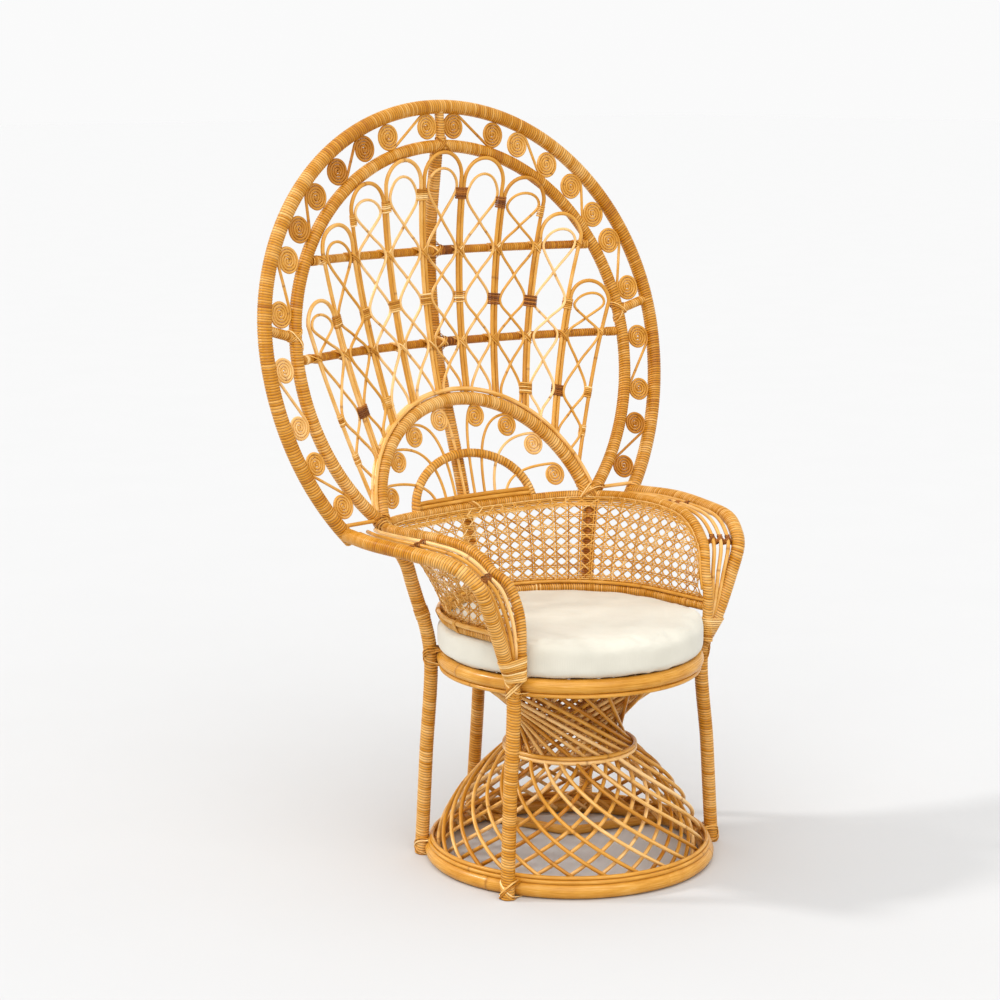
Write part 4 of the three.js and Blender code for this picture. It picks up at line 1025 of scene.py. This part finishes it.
def webbing(around, heights, wave, width):
    """One strand by its way round the band in millimetres, cut where it leaves the band."""
    angles = np.interp(around, girth, band_turns)
    inside = (np.abs(around) < girth[-1] - 1) & (heights > BAND_FOOT - 3)
    inside &= heights < band_head(angles)[..., 2] + 1
    runs = np.split(np.arange(len(angles)), np.flatnonzero(np.diff(inside.astype(int))) + 1)
    made = []
    for run in runs:
        if inside[run[0]] and len(run) > 3:
            points = band_spot(angles[run], heights[run], wave[run])
            made.append(tube(points, oval(4, 1.0, width), facing=level_out(points),
                             tone=rng.normal(0.25, 0.1)))
    return made


strands = []
half = int(girth[-1] / PITCH) + 1
tall = np.arange(FIRST_ROW - 3 * ROW / 4, 690, ROW / 4)
along = np.arange(SHIFT - (half + 1) * PITCH, girth[-1], PITCH / 4)
for column in range(-half, half + 1):
    for twin in (-1, 1):
        upright = np.full_like(tall, column * PITCH + SHIFT + 2.5 * twin)
        strands += webbing(upright, tall, ripple(0.7, tall - FIRST_ROW, ROW, twin > 0), 3.2)
for row in range(BAND_ROWS):
    for twin in (-1, 1):
        level = np.full_like(along, FIRST_ROW + row * ROW + 1.9 * twin)
        strands += webbing(along, level, ripple(0.7, along - SHIFT, PITCH, twin > 0), 2.7)
for hand in (1, -1):
    for column in range(-half - 9, half + 10):
        slant = (column + 0.5 + hand * (tall - FIRST_ROW) / ROW) * PITCH + SHIFT
        strands += webbing(slant, tall, ripple(1.1 * hand, tall - FIRST_ROW, ROW), 3.3)
print("strands of the net:", len(strands))

# %% Borders of the band
BORDER_PITCH = 18
heads = band_head(np.interp(along, girth, band_turns))[:, 2]
for number, drop in enumerate((2.0, 5.6, 9.2, 12.8, 16.4)):
    strands += webbing(along, heads - drop, ripple(0.9, along, BORDER_PITCH, number % 2), 3.4)
for rise in (0.5, 4.0):
    strands += webbing(along, np.full_like(along, BAND_FOOT + rise), ripple(0.9, along, BORDER_PITCH), 3.2)
piece("cane_webbing", strands, WOVEN, "woven_cane", "cane_band")
edge = rail_line[order] - 10.5 * level_out(rail_line[order]) - (0, 0, 6)
bare_piece("band_edge_cane", [cane(edge, 7, 8)])

# %% [markdown]
# ## Seat deck
# Under the cushion the seat ring holds a plain weave of flat cane. From the front it only shows as a row of
# light slits, but from below it is the seat. Strips in two directions pass over and under each other.

# %% Woven deck
DECK_REACH, DECK_HEIGHT, STRIP_PITCH = 244, 418.5, 14.5
strips = []
for level in np.arange(-232, 233, STRIP_PITCH):
    half = math.sqrt(DECK_REACH**2 - level**2)
    u = np.linspace(-half, half, max(4, round(half / 3.6)))
    facing = np.tile((0, 0, 1.0), (len(u), 1))
    for swap in (0, 1):
        wave = ripple(1.1, u, 2 * STRIP_PITCH, round(level / STRIP_PITCH) + swap)
        line = np.stack([u, np.full_like(u, level), DECK_HEIGHT + wave], axis=-1)
        line = line[:, [1, 0, 2]] if swap else line
        strips.append(tube(line, oval(4, 1.2, 10.5), facing=facing, tone=rng.normal(0.2, 0.14)))
piece("woven_seat_deck", strips, WOVEN, "woven_cane", "seat_deck")

# %% [markdown]
# ## Cushion
# The loose cushion is a round pad in plain cream cotton. It starts as a turned profile a little smaller than
# its solid, and Blender's cloth simulation blows it up, so the cover tightens over the edges and draws in.
# The filled cover is then widened to the cushion's measured breadth. The band's foot rail presses its edge
# down at the sides and the back, and it swells where the rail ends. Its threads are too fine to model, so
# two crossed sets of bands in the shader draw them.

# %% Cushion shape
def cushion_mesh(radius=258.0, base=425.5, rim=61.0, rounding=15.0):
    def rounded(height, start, count):
        turn = np.linspace(start, start + np.pi / 2, count)
        return np.stack([radius - rounding + rounding * np.cos(turn),
                         height + rounding * np.sin(turn)], axis=-1)

    under = np.stack([(radius - rounding) * np.linspace(0.02, 1, 12)[:-1], np.zeros(11)], axis=-1)
    share = np.linspace(1, 0.02, 14)[1:]
    crown = np.stack([(radius - rounding) * share, rim + 3 * (1 - share**2)], axis=-1)
    profile = np.vstack([under, rounded(rounding, -np.pi / 2, 7), rounded(rim - rounding, 0, 9), crown])
    angle = np.linspace(0, 2 * np.pi, 97)[:-1]
    points = polar(profile[:, None, 0], angle[None], base + profile[:, None, 1])
    mesh = bpy.data.meshes.new("cushion_cover")
    mesh.from_pydata(metres(points.reshape(-1, 3)), [], skin_faces(*points.shape[:2]))
    return mesh


def evaluated(thing):
    return bpy.data.meshes.new_from_object(thing.evaluated_get(bpy.context.evaluated_depsgraph_get()))


def spots(mesh):
    flat = np.empty(len(mesh.vertices) * 3)
    mesh.vertices.foreach_get("co", flat)
    return flat.reshape(-1, 3)


cover = bpy.data.objects.new("cushion_cover", cushion_mesh())
scene.collection.objects.link(cover)
remesh = cover.modifiers.new("even_cover", "REMESH")
remesh.mode = "VOXEL"
remesh.voxel_size = 0.006
cover.data = evaluated(cover)
cover.modifiers.clear()
print("cover before filling:", len(cover.data.vertices), "points")

# %% Filling the cushion
def filled(thing, pressure, cap):
    """Where cloth under pressure moves the cover, with each move capped in metres."""
    before = spots(thing.data)
    air = thing.modifiers.new("filling", "CLOTH")
    air.settings.use_pressure = True
    air.settings.uniform_pressure_force = pressure
    air.settings.effector_weights.gravity = 0
    for moment in range(1, 21):
        scene.frame_set(moment)
    after = spots(evaluated(thing))
    thing.modifiers.clear()
    scene.frame_set(1)
    move = after - before
    length = np.linalg.norm(move, axis=1, keepdims=True)
    return before + move * np.minimum(1, cap / np.maximum(length, 1e-9))


full = filled(cover, pressure=4, cap=0.009) - drum_axis
print("filled cover:", np.round(full.max(axis=0) * 1000, 1), "mm from the axis and the floor")

# %% Cushion in its place
BREADTH, DECK_TOP, CROWN_TOP, RAIL_PRESS = 0.2645, 0.4242, 0.499, 0.0137


def growing(value, low, high):
    return np.interp(value, (low, high), (0, 1))


full[:, :2] *= BREADTH / np.hypot(full[:, 0], full[:, 1]).max()
x, y, z = full.T
reach = np.hypot(x, y)
past_rail_end = np.abs(np.arctan2(x, -y)) - foot_start
squeeze = growing(past_rail_end, 0, 0.4) * growing(reach, 0.222, 0.240)
folds = np.sin(41 * x + 1.3 * np.sin(23 * y)) * np.sin(33 * y + 0.7)
puff = np.exp(-(((past_rail_end + 0.05) / 0.3) ** 2)) * growing(reach, 0.19, 0.25)
raised = z + (0.0024 * folds + 0.009 * puff) * growing(z, 0.46, 0.485)
full[:, 2] = np.clip(raised, DECK_TOP, CROWN_TOP - RAIL_PRESS * squeeze)
cover.data.vertices.foreach_set("co", (full + drum_axis).ravel())
smooth = cover.modifiers.new("soft_edges", "SUBSURF")
smooth.levels = smooth.render_levels = 1
cover.data.shade_smooth()
print("cushion in place:", np.round(full.max(axis=0) * 1000, 1), "mm from the axis and the floor")

# %% Cushion cloth
# Plain-woven cotton: matt, with a soft sheen at its edges and slightly uneven threads.
cotton, tree = blank_finish("cream_cotton_plain_weave")
place = node(tree, "ShaderNodeTexCoord").outputs["Object"]
# Threads are about 0.5 mm apart; they are drawn 3.2 mm apart so that the weave shows at this distance.
threads = [node(tree, "ShaderNodeTexWave", {"bands_direction": axis},
                {"Vector": place, "Scale": 98.0}).outputs[1] for axis in ("X", "Y")]
weave = node(tree, "ShaderNodeMath", {"operation": "MAXIMUM"}, dict(enumerate(threads))).outputs[0]
slub = node(tree, "ShaderNodeTexNoise", sockets={
    "Vector": place, "Scale": 14.0, "Detail": 4.0}).outputs["Fac"]
cream = node(tree, "ShaderNodeValToRGB", sockets={"Fac": slub}, stops=((0.3, "#d3cfc2"), (0.7, "#dbd7ca")))
bump = node(tree, "ShaderNodeBump", sockets={"Height": weave, "Strength": 0.12, "Distance": 0.0005})
cloth = node(tree, "ShaderNodeBsdfPrincipled", sockets={
    "Base Color": cream.outputs["Color"], "Roughness": 0.85, "Normal": bump.outputs["Normal"],
    "Sheen Weight": 0.25})
node(tree, "ShaderNodeOutputMaterial", sockets={"Surface": cloth.outputs["BSDF"]})
cover.data.materials.append(cotton)
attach(cover, "root")
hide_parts("cushion")
print("cushion:", len(cover.data.vertices), "points")

# %% [markdown]
# ## Floor and light
# The chair stands on a plain pale floor in a white room. A small lamp from the left draws the glints and the
# shadows of the canes, a wide one from the camera's side softens them, and the white room fills the rest.
# Sun lamps light the floor evenly as far as the horizon, so the floor's white can be set to meet the room's
# white there.

# %% Floor
FLOOR_REACH = 60
floor_mesh = bpy.data.meshes.new("pale_floor")
corners = [(x * FLOOR_REACH, y * FLOOR_REACH, 0) for x, y in ((-1, -1), (1, -1), (1, 1), (-1, 1))]
floor_mesh.from_pydata(corners, [], [(0, 1, 2, 3)])
floor = bpy.data.objects.new("pale_floor", floor_mesh)
scene.collection.objects.link(floor)
# Matt paint: no gloss, and hardly any mottling.
paint, tree = blank_finish("matt_white_floor_paint")
place = node(tree, "ShaderNodeTexCoord").outputs["Object"]
mottle = node(tree, "ShaderNodeTexNoise", sockets={
    "Vector": place, "Scale": 3.0, "Detail": 3.0}).outputs["Fac"]
white = node(tree, "ShaderNodeValToRGB", sockets={"Fac": mottle},
             stops=((0.2, "#d0d0d0"), (0.8, "#d1d1d1")))
coat = node(tree, "ShaderNodeBsdfPrincipled", sockets={
    "Base Color": white.outputs["Color"], "Roughness": 0.9, "Specular IOR Level": 0.0})
node(tree, "ShaderNodeOutputMaterial", sockets={"Surface": coat.outputs["BSDF"]})
floor_mesh.materials.append(paint)
print("floor:", 2 * FLOOR_REACH, "m across")

# %% World and lamps
world = bpy.data.worlds.new("white_room")
scene.world = world
world.use_nodes = True
world.node_tree.nodes["Background"].inputs["Color"].default_value = linear("#fbfbfb")
# Name, strength in watts per square metre, spread in degrees and direction of the light.
LAMPS = (("high_key", 1.0, 6, (0.52, -0.52, -0.62)), ("front_fill", 1.45, 70, (0.42, 0.52, -0.74)))
for name, power, spread, direction in LAMPS:
    lamp_data = bpy.data.lights.new(name, "SUN")
    lamp_data.energy, lamp_data.angle = power, math.radians(spread)
    lamp = bpy.data.objects.new(name, lamp_data)
    lamp.rotation_euler = Vector(direction).to_track_quat("-Z", "Y").to_euler()
    scene.collection.objects.link(lamp)
    print(name, power, "W per square metre")
# Plain colours, with a gamma below 1 that deepens the middle tones.
scene.view_settings.view_transform = "Standard"
scene.view_settings.gamma = 0.86
